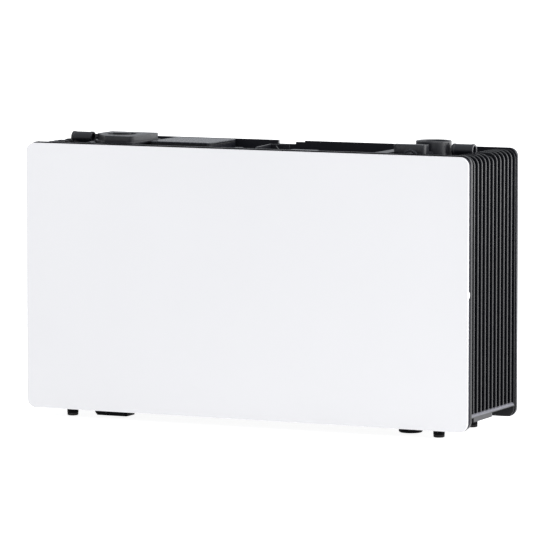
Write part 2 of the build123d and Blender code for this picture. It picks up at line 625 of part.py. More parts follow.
def isolator_outline(grow=0.0):
    """Outline of the tower from above: a cut corner at the front left, the rest rounded."""
    x0, x1 = ISO_X
    front, back = y_at(ISO_FRONT), y_at(ISO_BACK)
    with BuildSketch() as outline:
        with BuildLine():
            Polyline(
                (x0 + ISO_CUT_X, front),
                (x1, front),
                (x1, back),
                (x0, back),
                (x0, front + ISO_CUT_Y),
                close=True,
            )
        make_face()
        front_right = outline.vertices().sort_by(Axis.X)[-2:].sort_by(Axis.Y)[0]
        fillet(front_right, radius=ISO_ROUND)
        sharp = [v for v in outline.vertices() if v.X < x1 - ISO_ROUND - 1 or v.Y > back - 1]
        fillet(sharp, radius=ISO_ROUND / 3)
        if grow:
            offset(amount=grow)
    return outline.sketch


with BuildPart() as isolator_housing:
    extrude(Pos(0, 0, DECK_Z) * isolator_outline(), amount=ISO_TOP - DECK_Z)
    ledge = Pos(0, 0, LEDGE_Z - TOWER_LEDGE_T) * isolator_outline(TOWER_LEDGE_W)
    extrude(ledge, amount=TOWER_LEDGE_T)
    inside = Pos(0, 0, DECK_Z) * isolator_outline(-ISO_WALL)
    extrude(inside, amount=ISO_TOP - DECK_Z, mode=Mode.SUBTRACT)
save(isolator_housing.part, "isolator_housing")

WELL_FLOOR_Z = ISO_COVER_TOP - DIAL_WELL_H
WELL_UNDER_Z = WELL_FLOOR_Z - DIAL_WELL_T
with BuildPart() as isolator_cover:
    extrude(Pos(0, 0, ISO_TOP) * isolator_outline(), amount=ISO_COVER_T)
    post([DIAL_POINT], WELL_UNDER_Z, ISO_COVER_TOP, DIAL_WELL_R + DIAL_WELL_T)
    post([DIAL_POINT], WELL_FLOOR_Z, ISO_COVER_TOP, DIAL_WELL_R, mode=Mode.SUBTRACT)
    post([DIAL_POINT], WELL_UNDER_Z, WELL_FLOOR_Z, SHAFT_R + SHAFT_GAP, mode=Mode.SUBTRACT)
    with BuildSketch(level(ISO_COVER_TOP - ISO_COVER_T / 2)) as slots:
        with Locations((DIAL_POINT[0] + SLOT_PLACE[0], y_at(ISO_FRONT + SLOT_PLACE[1]))):
            with GridLocations(SLOT_PITCH, SLOT_PITCH, SLOT_COUNT, 1):
                SlotOverall(*SLOT_SIZE)
    extrude(slots.sketch, amount=ISO_COVER_T, mode=Mode.SUBTRACT)
    rim = isolator_cover.faces().sort_by(Axis.Z)[-1].outer_wire().edges()
    fillet(rim, radius=COVER_FILLET)
save(isolator_cover.part, "isolator_cover")

DIAL_Z = WELL_FLOOR_Z + SEAT_GAP
GRIP_FILLET = 2.0
grip_l, grip_w, grip_h = GRIP
with BuildPart() as knob:
    post([DIAL_POINT], DIAL_Z, DIAL_Z + DIAL_T, DIAL_R)
    fillet(knob.edges().group_by(Axis.Z)[-1], radius=COVER_FILLET)
    with BuildSketch(level(DIAL_Z + DIAL_T)) as grip:
        with Locations((DIAL_POINT[0], y_at(DIAL_POINT[1]))):
            SlotOverall(grip_l, grip_w)
    extrude(grip.sketch, amount=grip_h)
    fillet(knob.edges().group_by(Axis.Z)[-1], radius=GRIP_FILLET)
    post([DIAL_POINT], DIAL_Z, DIAL_Z + DIAL_T, SHAFT_R, mode=Mode.SUBTRACT)
save(knob.part, "isolator_knob")

body_w, body_d, body_h = SWITCH_BODY
SEAL_H = 4.0
SEAL_W = 4.0
SWITCH_GAP = 2.0          # between the switch and the shaft's seal
SWITCH_TOP = WELL_UNDER_Z - SEAL_H - SWITCH_GAP
SWITCH_FEET = 8.0
SWITCH_CORNER_R = 3.0
with BuildPart() as switch_body:
    x0, depth0 = DIAL_POINT
    half = (body_w / 2, body_d / 2)
    switch_x = (x0 - half[0], x0 + half[0])
    switch_y = (depth0 - half[1], depth0 + half[1])
    block(switch_x, switch_y, (DECK_Z, SWITCH_TOP))
    fillet(switch_body.edges().filter_by(Axis.Z), radius=SWITCH_CORNER_R)
    tunnel = (depth0 - half[1] + SWITCH_FEET, depth0 + half[1] - SWITCH_FEET)
    block(switch_x, tunnel, (DECK_Z, SWITCH_TOP - body_h), mode=Mode.SUBTRACT)
    bore_z = SWITCH_TOP - body_h / 2
    post([DIAL_POINT], bore_z, SWITCH_TOP, SHAFT_R + SHAFT_GAP, mode=Mode.SUBTRACT)
save(switch_body.part, "isolator_switch")

with BuildPart() as shaft:
    post([DIAL_POINT], bore_z + SEAT_GAP, DIAL_Z + DIAL_T, SHAFT_R)
save(shaft.part, "isolator_shaft")

with BuildPart() as shaft_seal:
    post([DIAL_POINT], WELL_UNDER_Z - SEAL_H, WELL_UNDER_Z, SHAFT_R + SEAL_W)
    post([DIAL_POINT], WELL_UNDER_Z - SEAL_H, WELL_UNDER_Z, SHAFT_R + SHAFT_GAP, mode=Mode.SUBTRACT)
save(shaft_seal.part, "shaft_seal")

# cable eye in front of the tower's cut corner
EYE_POINT = (LEFT + EYE_X, TOP_Z - EYE_DROP)
EYE_SPAN = (EYE_FRONT, EYE_FRONT + EYE_L)
EYE_WEB_W = 12.0
EYE_PLATE = (28.0, 4.0)
EYE_CHAMFER = 1.0
with BuildPart() as cable_eye:
    stud([EYE_POINT], *EYE_SPAN, EYE_R)
    eye_web = (EYE_POINT[0] - EYE_WEB_W / 2, EYE_POINT[0] + EYE_WEB_W / 2)
    block(eye_web, EYE_SPAN, (DECK_Z, EYE_POINT[1]))
    eye_plate = (EYE_POINT[0] - EYE_PLATE[0] / 2, EYE_POINT[0] + EYE_PLATE[0] / 2)
    block(eye_plate, EYE_SPAN, (DECK_Z, DECK_Z + EYE_PLATE[1]))
    stud([EYE_POINT], *EYE_SPAN, EYE_BORE_R, mode=Mode.SUBTRACT)
    eye_rims = cable_eye.edges().filter_by(GeomType.CIRCLE).group_by(Axis.Y)[0]
    chamfer(eye_rims, length=EYE_CHAMFER)
save(cable_eye.part, "cable_eye")

# ---------------------------------------------------------------- wiring box
LID_HOLE_H = 28.0         # depth of the screw holes in the posts
LID_SHANK_H = 14.0        # length of the screws in the posts
LID_SCREW_GAP = 0.05
LID_HEAD_GAP = 0.1
LID_SLOT_W = 1.0
WIRE_LID_Z = TOP_Z - WIRE_LID_T
WIRE_TOP = WIRE_LID_Z - WIRE_SEAL_T - SEAT_GAP
WIRE_SIZE = (WIRE_X[1] - WIRE_X[0], WIRE_BACK - WIRE_FRONT)
WIRE_MID = (span(*WIRE_X), y_at(span(WIRE_FRONT, WIRE_BACK)))
post_x = WIRE_SIZE[0] / 2 - WIRE_WALL - WIRE_POST_R
post_y = WIRE_SIZE[1] / 2 - WIRE_WALL - WIRE_POST_R
wire_depth = span(WIRE_FRONT, WIRE_BACK)
LID_POINTS = [
    (WIRE_MID[0] + x, wire_depth + y) for x in (-post_x, post_x) for y in (-post_y, post_y)
]


def wiring_slab(low, high, inset, mode=Mode.ADD):
    """Plate of the wiring box's outline, drawn in by inset, between two heights."""
    with BuildSketch(level(low)) as outline:
        with Locations(WIRE_MID):
            size = (WIRE_SIZE[0] - 2 * inset, WIRE_SIZE[1] - 2 * inset)
            RectangleRounded(*size, WIRE_ROUND - inset)
    extrude(outline.sketch, amount=high - low, mode=mode)


with BuildPart() as wiring_box:
    wiring_slab(DECK_Z, WIRE_TOP, 0)
    wiring_slab(DECK_Z + WIRE_WALL, WIRE_TOP, WIRE_WALL, mode=Mode.SUBTRACT)
    post(LID_POINTS, DECK_Z, WIRE_TOP, WIRE_POST_R)
    post(LID_POINTS, WIRE_TOP - LID_HOLE_H, WIRE_TOP, LID_SCREW_R + FIT_GAP, mode=Mode.SUBTRACT)
    post([cable_holes[1]], DECK_Z, DECK_Z + WIRE_WALL, CABLE_HOLE_R, mode=Mode.SUBTRACT)
save(wiring_box.part, "wiring_box")

with BuildPart() as wiring_seal:
    wiring_slab(WIRE_TOP, WIRE_TOP + WIRE_SEAL_T, 0)
    wiring_slab(WIRE_TOP, WIRE_TOP + WIRE_SEAL_T, WIRE_WALL, mode=Mode.SUBTRACT)
save(wiring_seal.part, "wiring_seal")

LID_HEAD_H = 2.0
LID_HEAD_R = 3.8
with BuildPart() as wiring_lid:
    wiring_slab(WIRE_LID_Z, TOP_Z, 0)
    fillet(wiring_lid.faces().sort_by(Axis.Z)[-1].edges(), radius=COVER_FILLET)
    post(LID_POINTS, WIRE_LID_Z, TOP_Z, LID_SCREW_R, mode=Mode.SUBTRACT)
    post(LID_POINTS, TOP_Z - LID_HEAD_H, TOP_Z, LID_HEAD_R, mode=Mode.SUBTRACT)
save(wiring_lid.part, "wiring_lid")

with BuildPart() as lid_screws:
    post(LID_POINTS, TOP_Z - LID_HEAD_H, TOP_Z, LID_HEAD_R - LID_HEAD_GAP)
    post(LID_POINTS, WIRE_TOP - LID_SHANK_H, TOP_Z - LID_HEAD_H, LID_SCREW_R - LID_SCREW_GAP)
    with BuildSketch(level(TOP_Z - LID_HEAD_H / 2)) as cross_slots:
        with Locations(*[(x, y_at(depth)) for x, depth in LID_POINTS]):
            Rectangle(2 * LID_HEAD_R, LID_SLOT_W)
    extrude(cross_slots.sketch, amount=LID_HEAD_H, mode=Mode.SUBTRACT)
save(lid_screws.part, "lid_screws")

TERMINALS = 6
TERMINAL_PITCH = 14.0
TERMINAL_BLOCK = (32.0, 26.0)       # depth and height
TERMINAL_FRONT = 30.0     # behind the wiring box's front
TERMINAL_BORE_R = 3.5
TERMINAL_BORE_H = 10.0
ENTRY = (8.0, 9.0, 8.0)   # width, depth and height of each wire entry
ENTRY_Z = 5.0
with BuildPart() as terminal_block:
    block_d, block_h = TERMINAL_BLOCK
    block_depth = (WIRE_FRONT + TERMINAL_FRONT, WIRE_FRONT + TERMINAL_FRONT + block_d)
    half_length = TERMINALS * TERMINAL_PITCH / 2
    rail_z = DECK_Z + WIRE_WALL
    block_top = rail_z + block_h
    block((WIRE_MID[0] - half_length, WIRE_MID[0] + half_length), block_depth, (rail_z, block_top))
    top_points = [
        (WIRE_MID[0] + TERMINAL_PITCH * (k - (TERMINALS - 1) / 2), span(*block_depth))
        for k in range(TERMINALS)
    ]
    post(top_points, block_top - TERMINAL_BORE_H, block_top, TERMINAL_BORE_R, mode=Mode.SUBTRACT)
    entry_w, entry_d, entry_h = ENTRY
    entry_z = (rail_z + ENTRY_Z, rail_z + ENTRY_Z + entry_h)
    for x, _ in top_points:
        entry_x = (x - entry_w / 2, x + entry_w / 2)
        block(entry_x, (block_depth[0], block_depth[0] + entry_d), entry_z, mode=Mode.SUBTRACT)
        block(entry_x, (block_depth[1] - entry_d, block_depth[1]), entry_z, mode=Mode.SUBTRACT)
save(terminal_block.part, "terminal_block")

# ---------------------------------------------------------------- conduit tower
TOWER_TOP = TOP_Z + TOWER_RISE
HUB_TOP = TOP_Z + HUB_RISE
SHELF_X = RIGHT - SHELF_LEFT
SHELF_TAB = 10.0


def tower_slab(back_depth, low, high, inset, mode=Mode.ADD):
    """Plate of the conduit tower's outline, drawn in by inset, back to a depth."""
    x0, x1 = TOWER_X
    front, back = y_at(ISO_FRONT), y_at(back_depth)
    with BuildSketch(level(low)) as outline:
        with Locations((span(x0, x1), span(front, back))):
            Rectangle(x1 - x0 - 2 * inset, back - front - 2 * inset)
        fillet(outline.vertices().group_by(Axis.Y)[0], radius=TOWER_ROUND - inset)
    extrude(outline.sketch, amount=high - low, mode=mode)


GLAND_POINT = (RIGHT - GLAND_SIDE, TOP_Z - GLAND_DROP)
with BuildPart() as conduit_housing:
    tower_slab(HOOD_BACK, DECK_Z, TOWER_TOP, 0)
    fillet(conduit_housing.faces().sort_by(Axis.Z)[-1].edges(), radius=COVER_FILLET)
    tower_slab(TOWER_BACK, DECK_Z, LEDGE_Z, 0)
    shelf_z = (LEDGE_Z - TOWER_LEDGE_T, LEDGE_Z)
    block((SHELF_X, TOWER_X[0] + ISO_WALL), (SHELF_FRONT, TOWER_BACK), shelf_z)
    block((SHELF_X, SHELF_X + ISO_WALL), (SHELF_FRONT, TOWER_BACK), (DECK_Z, LEDGE_Z))
    tab_y = (TOWER_BACK - ISO_WALL, TOWER_BACK)
    block((SHELF_X, SHELF_X + SHELF_TAB), tab_y, (LEDGE_Z, LEDGE_Z + SHELF_TAB))
    tower_slab(HOOD_BACK, DECK_Z, TOWER_TOP - ISO_WALL, ISO_WALL, mode=Mode.SUBTRACT)
    tower_slab(TOWER_BACK, DECK_Z, LEDGE_Z - ISO_WALL, ISO_WALL, mode=Mode.SUBTRACT)
    post([HUB_POINT], DECK_Z, TOWER_TOP, HUB_R + FIT_GAP, mode=Mode.SUBTRACT)
    stud([GLAND_POINT], ISO_FRONT, ISO_FRONT + ISO_WALL, GLAND_SLEEVE_R + FIT_GAP, mode=Mode.SUBTRACT)
save(conduit_housing.part, "conduit_housing")

HUB_RIM_T = 1.5
with BuildPart() as conduit_hub:
    post([HUB_POINT], DECK_Z, HUB_TOP, HUB_R)
    outer_rim = conduit_hub.edges().filter_by(GeomType.CIRCLE).group_by(Axis.Z)[-1]
    fillet(outer_rim, radius=HUB_RIM_T)
    post([HUB_POINT], DECK_Z, HUB_TOP, HUB_BORE_R, mode=Mode.SUBTRACT)
save(conduit_hub.part, "conduit_hub")

NUT_H = 8.0
with BuildPart() as hub_nut:
    nut_z = CEILING_Z - NUT_H
    with BuildSketch(level(nut_z)) as nut_outline:
        with Locations((HUB_POINT[0], y_at(HUB_POINT[1]))):
            RegularPolygon(HUB_R, 8)
            Circle(HUB_BORE_R + HUB_HOLE_GAP, mode=Mode.SUBTRACT)
    extrude(nut_outline.sketch, amount=NUT_H)
save(hub_nut.part, "conduit_locknut")

GLAND_FLANGE_T = 4.0
GLAND_OUT = 10.0          # sleeve's length in front of the tower
GLAND_IN = 8.0            # and behind the tower's front wall
GLAND_FILLET = 2.5
with BuildPart() as gland_ring:
    stud([GLAND_POINT], ISO_FRONT - GLAND_FLANGE_T, ISO_FRONT, GLAND_R)
    fillet(gland_ring.edges().filter_by(GeomType.CIRCLE).group_by(Axis.Y)[0], radius=COVER_FILLET)
    sleeve_hole = GLAND_SLEEVE_R + FIT_GAP
    stud([GLAND_POINT], ISO_FRONT - GLAND_FLANGE_T, ISO_FRONT, sleeve_hole, mode=Mode.SUBTRACT)
save(gland_ring.part, "gland_ring")

with BuildPart() as gland_sleeve:
    sleeve_front = ISO_FRONT - GLAND_OUT
    sleeve_back = ISO_FRONT + ISO_WALL + GLAND_IN
    stud([GLAND_POINT], sleeve_front, sleeve_back, GLAND_SLEEVE_R)
    fillet(gland_sleeve.edges().filter_by(GeomType.CIRCLE).group_by(Axis.Y)[0], radius=GLAND_FILLET)
    stud([GLAND_POINT], sleeve_front, sleeve_back, GLAND_BORE_R, mode=Mode.SUBTRACT)
save(gland_sleeve.part, "gland_sleeve")

# ---------------------------------------------------------------- pieces between the towers
VENT_DROP = 2.0           # plug's top below the rear plate's upper edge
VENT_FLANGE = (5.0, 6.0)  # flange's width round the plug, and its height
VENT_FILLET = 2.0
VENT_Z = TOP_Z - VENT_DROP
flange_w, flange_h = VENT_FLANGE
with BuildPart() as vent_plug:
    vent_point = [(LEFT + VENT_X, VENT_DEPTH)]
    post(vent_point, DECK_Z, DECK_Z + flange_h, VENT_R + flange_w)
    post(vent_point, DECK_Z + flange_h, VENT_Z, VENT_R)
    fillet(vent_plug.edges().filter_by(GeomType.CIRCLE).group_by(Axis.Z)[-1], radius=VENT_FILLET)
save(vent_plug.part, "vent_plug")

truss_x = (LEFT + TRUSS_X, LEFT + TRUSS_X + TRUSS_W)
TRUSS_DROP = 3.0          # bracket's top below the rear plate's upper edge
TRUSS_BASE_T = 4.0
TRUSS_JOINT = 8.0         # width of the diagonals' ends
CHEEK_NOSE = (10.0, 2.0, 12.0)      # sloped nose: its length, its drop at the back and at the front
CHEEK_HOLE = (5.0, 16.0, 14.0)      # radius, behind the nose's tip, below the top
TRUSS_TOP = TOP_Z - TRUSS_DROP
with BuildPart() as hanger_bracket:
    truss_y = (TRUSS_DEPTH - TRUSS_LEN, TRUSS_DEPTH)
    nose_l, nose_back, nose_front = CHEEK_NOSE
    hole_r, hole_y, hole_z = CHEEK_HOLE
    block((truss_x[0] - TRUSS_BAR, truss_x[1]), truss_y, (DECK_Z, DECK_Z + TRUSS_BASE_T))
    with BuildSketch(Plane.YZ.offset(truss_x[0] - TRUSS_BAR)) as cheek:
        with BuildLine():
            Polyline(
                (y_at(truss_y[0]), DECK_Z),
                (y_at(truss_y[1]), DECK_Z),
                (y_at(truss_y[1]), TRUSS_TOP),
                (y_at(truss_y[0]) + nose_l, TRUSS_TOP - nose_back),
                (y_at(truss_y[0]), TRUSS_TOP - nose_front),
                close=True,
            )
        make_face()
        with Locations((y_at(truss_y[0]) + hole_y, TRUSS_TOP - hole_z)):
            Circle(hole_r, mode=Mode.SUBTRACT)
    extrude(cheek.sketch, amount=TRUSS_BAR)
    with BuildSketch(upright(TRUSS_DEPTH)) as truss:
        low, high = DECK_Z + TRUSS_BASE_T, TRUSS_TOP
        centre = (span(*truss_x), span(low, high))
        with Locations(centre):
            Rectangle(TRUSS_W, high - low)
            Rectangle(TRUSS_W - 2 * TRUSS_BAR, high - low - TRUSS_BAR, mode=Mode.SUBTRACT)
        for corner in (1, -1):
            with BuildLine():
                x_half = TRUSS_W / 2
                start = (centre[0] - x_half, centre[1] - corner * (high - low) / 2)
                end = (centre[0] + x_half, centre[1] + corner * (high - low) / 2)
                Polyline(
                    start,
                    (start[0], start[1] + corner * TRUSS_JOINT),
                    (end[0] - TRUSS_JOINT, end[1]),
                    end,
                    (end[0], end[1] - corner * TRUSS_JOINT),
                    (start[0] + TRUSS_JOINT, start[1]),
                    close=True,
                )
            make_face()
    extrude(truss.sketch, amount=TRUSS_BAR)
save(hanger_bracket.part, "hanger_bracket")

port_x = (LEFT + PORT_LEFT, LEFT + PORT_LEFT + PORT_W)
PORT_LID_T = 3.0
PORT_WALL = 2.5
PORT_CORNER_R = 4.0
PORT_RIM = 1.0
PORT_TOP = TOP_Z - PORT_DROP
with BuildPart() as port_box:
    block(port_x, PORT_DEPTH, (DECK_Z, PORT_TOP - PORT_LID_T))
    fillet(port_box.edges().filter_by(Axis.Z), radius=PORT_CORNER_R)
    inner_x = (port_x[0] + PORT_WALL, port_x[1] - PORT_WALL)
    inner_y = (PORT_DEPTH[0] + PORT_WALL, PORT_DEPTH[1] - PORT_WALL)
    block(inner_x, inner_y, (DECK_Z + PORT_WALL, PORT_TOP), mode=Mode.SUBTRACT)
save(port_box.part, "port_box")

with BuildPart() as port_cover:
    block(port_x, PORT_DEPTH, (PORT_TOP - PORT_LID_T, PORT_TOP))
    fillet(port_cover.edges().filter_by(Axis.Z), radius=PORT_CORNER_R)
    fillet(port_cover.faces().sort_by(Axis.Z)[-1].edges(), radius=PORT_RIM)
save(port_cover.part, "port_cover")

# ---------------------------------------------------------------- battery modules
cell_t, cell_w, cell_h = CELL
CELLS = int((2 * INNER_X - CELL_BAY - 2 * END_PLATE_T) / CELL_PITCH)
STACK_L = CELLS * CELL_PITCH
STACK_LEFT = -INNER_X + STACK_GAP + END_PLATE_T
STACK_RIGHT = STACK_LEFT + STACK_L
CELL_X = [STACK_LEFT + CELL_PITCH * (k + 0.5) for k in range(CELLS)]
MODULE_DEPTH = span(FLANGE_BACK, TUB_BACK - TUB_WALL)
PLATE_HALF = cell_w / 2 + PLATE_MARGIN
MODULE_X = (STACK_LEFT - END_PLATE_T, STACK_RIGHT + END_PLATE_T)
MODULE_Y = (MODULE_DEPTH - PLATE_HALF, MODULE_DEPTH + PLATE_HALF)
BOARD_T = 1.6
MODULE_H = MODULE_TRAY_T + cell_h + TERMINAL_H + BUSBAR_T + MODULE_GAP
MODULE_BASES = {"lower": FLOOR_Z, "upper": FLOOR_Z + MODULE_H}

TRAY_LIP = 20.0
FLOORS = {place: base + MODULE_TRAY_T for place, base in MODULE_BASES.items()}
ENDS = (MODULE_DEPTH - TERMINAL_OFFSET, MODULE_DEPTH + TERMINAL_OFFSET)

for place, base in MODULE_BASES.items():
    floor = FLOORS[place]
    top = floor + cell_h

    with BuildPart() as module_tray:
        block(MODULE_X, MODULE_Y, (base, floor))
        for lip_y in (MODULE_Y[0], MODULE_Y[1] - MODULE_TRAY_T):
            block(MODULE_X, (lip_y, lip_y + MODULE_TRAY_T), (base, base + TRAY_LIP))
    save(module_tray.part, f"module_tray_{place}")

    with BuildPart() as cells:
        with BuildSketch(level(floor)) as cans:
            with Locations(*[(x, y_at(MODULE_DEPTH)) for x in CELL_X]):
                RectangleRounded(cell_t, cell_w, CELL_CORNER_R)
        extrude(cans.sketch, amount=cell_h)
        terminals = [(x, depth) for x in CELL_X for depth in ENDS]
        post(terminals, top, top + TERMINAL_H, TERMINAL_R)
    save(cells.part, f"cells_{place}")

ROD_LOW = 30.0
ROD_HIGH = 108.0
ROD_NUT_R = 4.8
ROD_NUT_T = 4.0
ROD_EDGE = 1.5            # wall of the end plate beyond a rod
rod_y = PLATE_HALF - MODULE_TRAY_T - ROD_R - ROD_EDGE
ROD_POINTS = [
    (y_at(MODULE_DEPTH) + y, floor + z)
    for floor in FLOORS.values()
    for y in (-rod_y, rod_y)
    for z in (ROD_LOW, ROD_HIGH)
]
with BuildPart() as end_plates:
    plate_y = (MODULE_Y[0] + MODULE_TRAY_T, MODULE_Y[1] - MODULE_TRAY_T)
    for floor in FLOORS.values():
        for x in (MODULE_X[0], STACK_RIGHT):
            block((x, x + END_PLATE_T), plate_y, (floor, floor + cell_h))
    with BuildSketch(Plane.YZ.offset(MODULE_X[0])) as rod_holes:
        with Locations(*ROD_POINTS):
            Circle(ROD_R + FIT_GAP)
    extrude(rod_holes.sketch, amount=MODULE_X[1] - MODULE_X[0], mode=Mode.SUBTRACT)
save(end_plates.part, "end_plates")

with BuildPart() as tie_rods:
    with BuildSketch(Plane.YZ.offset(MODULE_X[0] - ROD_NUT_T)) as rods:
        with Locations(*ROD_POINTS):
            Circle(ROD_R)
    extrude(rods.sketch, amount=MODULE_X[1] - MODULE_X[0] + 2 * ROD_NUT_T)
    with BuildSketch(Plane.YZ.offset(MODULE_X[0] - ROD_NUT_T), Plane.YZ.offset(MODULE_X[1])) as nuts:
        with Locations(*ROD_POINTS):
            RegularPolygon(ROD_NUT_R, 6)
    extrude(nuts.sketch, amount=ROD_NUT_T)
save(tie_rods.part, "tie_rods")

BUSBAR_W = 20.0
with BuildPart() as busbars:
    for floor in FLOORS.values():
        bar_z = floor + cell_h + TERMINAL_H
        for k in range(CELLS - 1):
            depth = ENDS[(k + 1) % 2]
            bar_x = (CELL_X[k] - BUSBAR_W / 2, CELL_X[k + 1] + BUSBAR_W / 2)
            bar_y = (depth - BUSBAR_W / 2, depth + BUSBAR_W / 2)
            block(bar_x, bar_y, (bar_z, bar_z + BUSBAR_T))
save(busbars.part, "busbars")

POST_W = 20.0
POST_T = 6.0
POST_GAP = 1.0
POST_ARM_T = 3.0
post_x_row = (MODULE_X[0] + POST_W / 2, span(*MODULE_X), MODULE_X[1] - POST_W / 2)
upper_base = MODULE_BASES["upper"]
with BuildPart() as module_posts:
    for x in post_x_row:
        post_span = (x - POST_W / 2, x + POST_W / 2)
        front_face = MODULE_Y[0] - POST_GAP
        back_face = MODULE_Y[1] + POST_GAP
        block(post_span, (front_face - POST_T, front_face), (FLOOR_Z, upper_base))
        block(post_span, (back_face, back_face + POST_T), (FLOOR_Z, upper_base))
        arm_z = (upper_base - POST_ARM_T, upper_base)
        block(post_span, (front_face - POST_T, front_face + 2 * POST_T), arm_z)
        block(post_span, (back_face - 2 * POST_T, back_face + POST_T), arm_z)
save(module_posts.part, "module_posts")

# ---------------------------------------------------------------- electronics
MODULES_TOP = FLOOR_Z + 2 * MODULE_H
PANEL_BACK = TUB_BACK - TUB_WALL
STANDOFF = 12.0
MOUNT_T = 3.0
MOUNT_BELOW = 6.0         # mounting plate above the modules
MOUNT_ABOVE = 12.0        # and below the tub's ceiling
MOUNT_SIDE = 15.0
MOUNT_FOOT_R = 6.0
MOUNT_FOOT_X = 25.0       # plate's feet from its ends
MOUNT_FOOT_Z = 14.0
mount_z = (MODULES_TOP + MOUNT_BELOW, CEILING_Z - MOUNT_ABOVE)
MOUNT_FACE = PANEL_BACK - STANDOFF - MOUNT_T
mount_h = mount_z[1] - mount_z[0]
mount_mid = span(*mount_z)
mount_half = INNER_X - MOUNT_SIDE

with BuildPart() as mounting_plate:
    block((-mount_half, mount_half), (MOUNT_FACE, MOUNT_FACE + MOUNT_T), mount_z)
    foot_columns = (MOUNT_FOOT_X - mount_half, 0, mount_half - MOUNT_FOOT_X)
    foot_rows = (mount_z[0] + MOUNT_FOOT_Z, mount_z[1] - MOUNT_FOOT_Z)
    mount_feet = [(x, z) for x in foot_columns for z in foot_rows]
    stud(mount_feet, MOUNT_FACE + MOUNT_T, PANEL_BACK, MOUNT_FOOT_R)
save(mounting_plate.part, "mounting_plate")

BOARD_STANDOFF = 8.0
LEG_R = 3.0
LEG_INSET = 8.0
BOARD_MARGIN = 6.0        # board inside the mounting plate's upper and lower edges
BOARD_BACK = MOUNT_FACE - BOARD_STANDOFF
BOARD_FRONT = BOARD_BACK - BOARD_T


def board(x_span, z_span):
    """Circuit board on six round standoffs in front of the mounting plate."""
    block(x_span, (BOARD_FRONT, BOARD_BACK), z_span)
    columns = (x_span[0] + LEG_INSET, span(*x_span), x_span[1] - LEG_INSET)
    legs = [(x, z) for x in columns for z in (z_span[0] + LEG_INSET, z_span[1] - LEG_INSET)]
    stud(legs, BOARD_BACK, MOUNT_FACE, LEG_R)


board_z = (mount_z[0] + BOARD_MARGIN, mount_z[1] - BOARD_MARGIN)
FREE_TERMINAL = ENDS[0]
CONTACTOR_W = 65.0
CONTACTOR_D = 62.0
POLE_R = 6.0
POLE_H = 8.0
POLE_PITCH = 36.0
CONTACTOR_MID = CELL_X[0] + POLE_PITCH / 2
CONTACTOR_X = (CONTACTOR_MID - CONTACTOR_W / 2, CONTACTOR_MID + CONTACTOR_W / 2)
CONTACTOR_DROP = 12.0     # contactor's underside below the plate's middle
CONTACTOR_H = 60.0
CONTACTOR_CORNER_R = 4.0
CONTACTOR_Z = (mount_mid - CONTACTOR_DROP, mount_mid - CONTACTOR_DROP + CONTACTOR_H)
pole_z = span(*CONTACTOR_Z)
POLE_FRONT = MOUNT_FACE - CONTACTOR_D - POLE_H
with BuildPart() as contactor:
    block(CONTACTOR_X, (MOUNT_FACE - CONTACTOR_D, MOUNT_FACE), CONTACTOR_Z)
    fillet(contactor.edges().filter_by(Axis.Y), radius=CONTACTOR_CORNER_R)
    pole_points = [(CONTACTOR_MID + dx, pole_z) for dx in (-POLE_PITCH / 2, POLE_PITCH / 2)]
    stud(pole_points, POLE_FRONT, MOUNT_FACE - CONTACTOR_D, POLE_R)
save(contactor.part, "contactor")

FUSE_R = 9.0
FUSE_CLIP_W = 10.0
FUSE_BASE_T = 10.0
FUSE_RISE = 3.0           # barrel clear of its base
FUSE_BASE_H = 24.0
FUSE_DROP = 44.0          # fuse's axis below the plate's middle
FUSE_OVERHANG = (4.0, 8.0)          # fuse past the contactor, left and right
FUSE_DEPTH = MOUNT_FACE - FUSE_BASE_T - FUSE_R - FUSE_RISE
FUSE_Z = mount_mid - FUSE_DROP
fuse_x = (CONTACTOR_X[0] - FUSE_OVERHANG[0], CONTACTOR_X[1] + FUSE_OVERHANG[1])
with BuildPart() as main_fuse:
    fuse_z_span = (FUSE_Z - FUSE_BASE_H / 2, FUSE_Z + FUSE_BASE_H / 2)
    block(fuse_x, (MOUNT_FACE - FUSE_BASE_T, MOUNT_FACE), fuse_z_span)
    for x in (fuse_x[0], fuse_x[1] - FUSE_CLIP_W):
        block((x, x + FUSE_CLIP_W), (FUSE_DEPTH, MOUNT_FACE - FUSE_BASE_T), fuse_z_span)
    with BuildSketch(Plane.YZ.offset(fuse_x[0])) as barrel:
        with Locations((y_at(FUSE_DEPTH), FUSE_Z)):
            Circle(FUSE_R)
    extrude(barrel.sketch, amount=fuse_x[1] - fuse_x[0])
save(main_fuse.part, "main_fuse")

CONTROL_W = 190.0
BOARD_SPACE = 15.0
CONTROL_X = (fuse_x[1] + BOARD_SPACE, fuse_x[1] + BOARD_SPACE + CONTROL_W)
CHIP_T = 3.0
CHIPS = ((40, 22), (90, 30), (140, 16))          # place along the board and size of each chip
with BuildPart() as control_board:
    board(CONTROL_X, board_z)
    for offset_x, size in CHIPS:
        chip_x = CONTROL_X[0] + offset_x
        chip_z = (mount_mid - size / 2, mount_mid + size / 2)
        block((chip_x, chip_x + size), (BOARD_FRONT - CHIP_T, BOARD_FRONT), chip_z)
save(control_board.part, "control_board")

POWER_X = (CONTROL_X[1] + BOARD_SPACE, mount_half - BOARD_SPACE)
with BuildPart() as power_board:
    board(POWER_X, board_z)
save(power_board.part, "power_board")

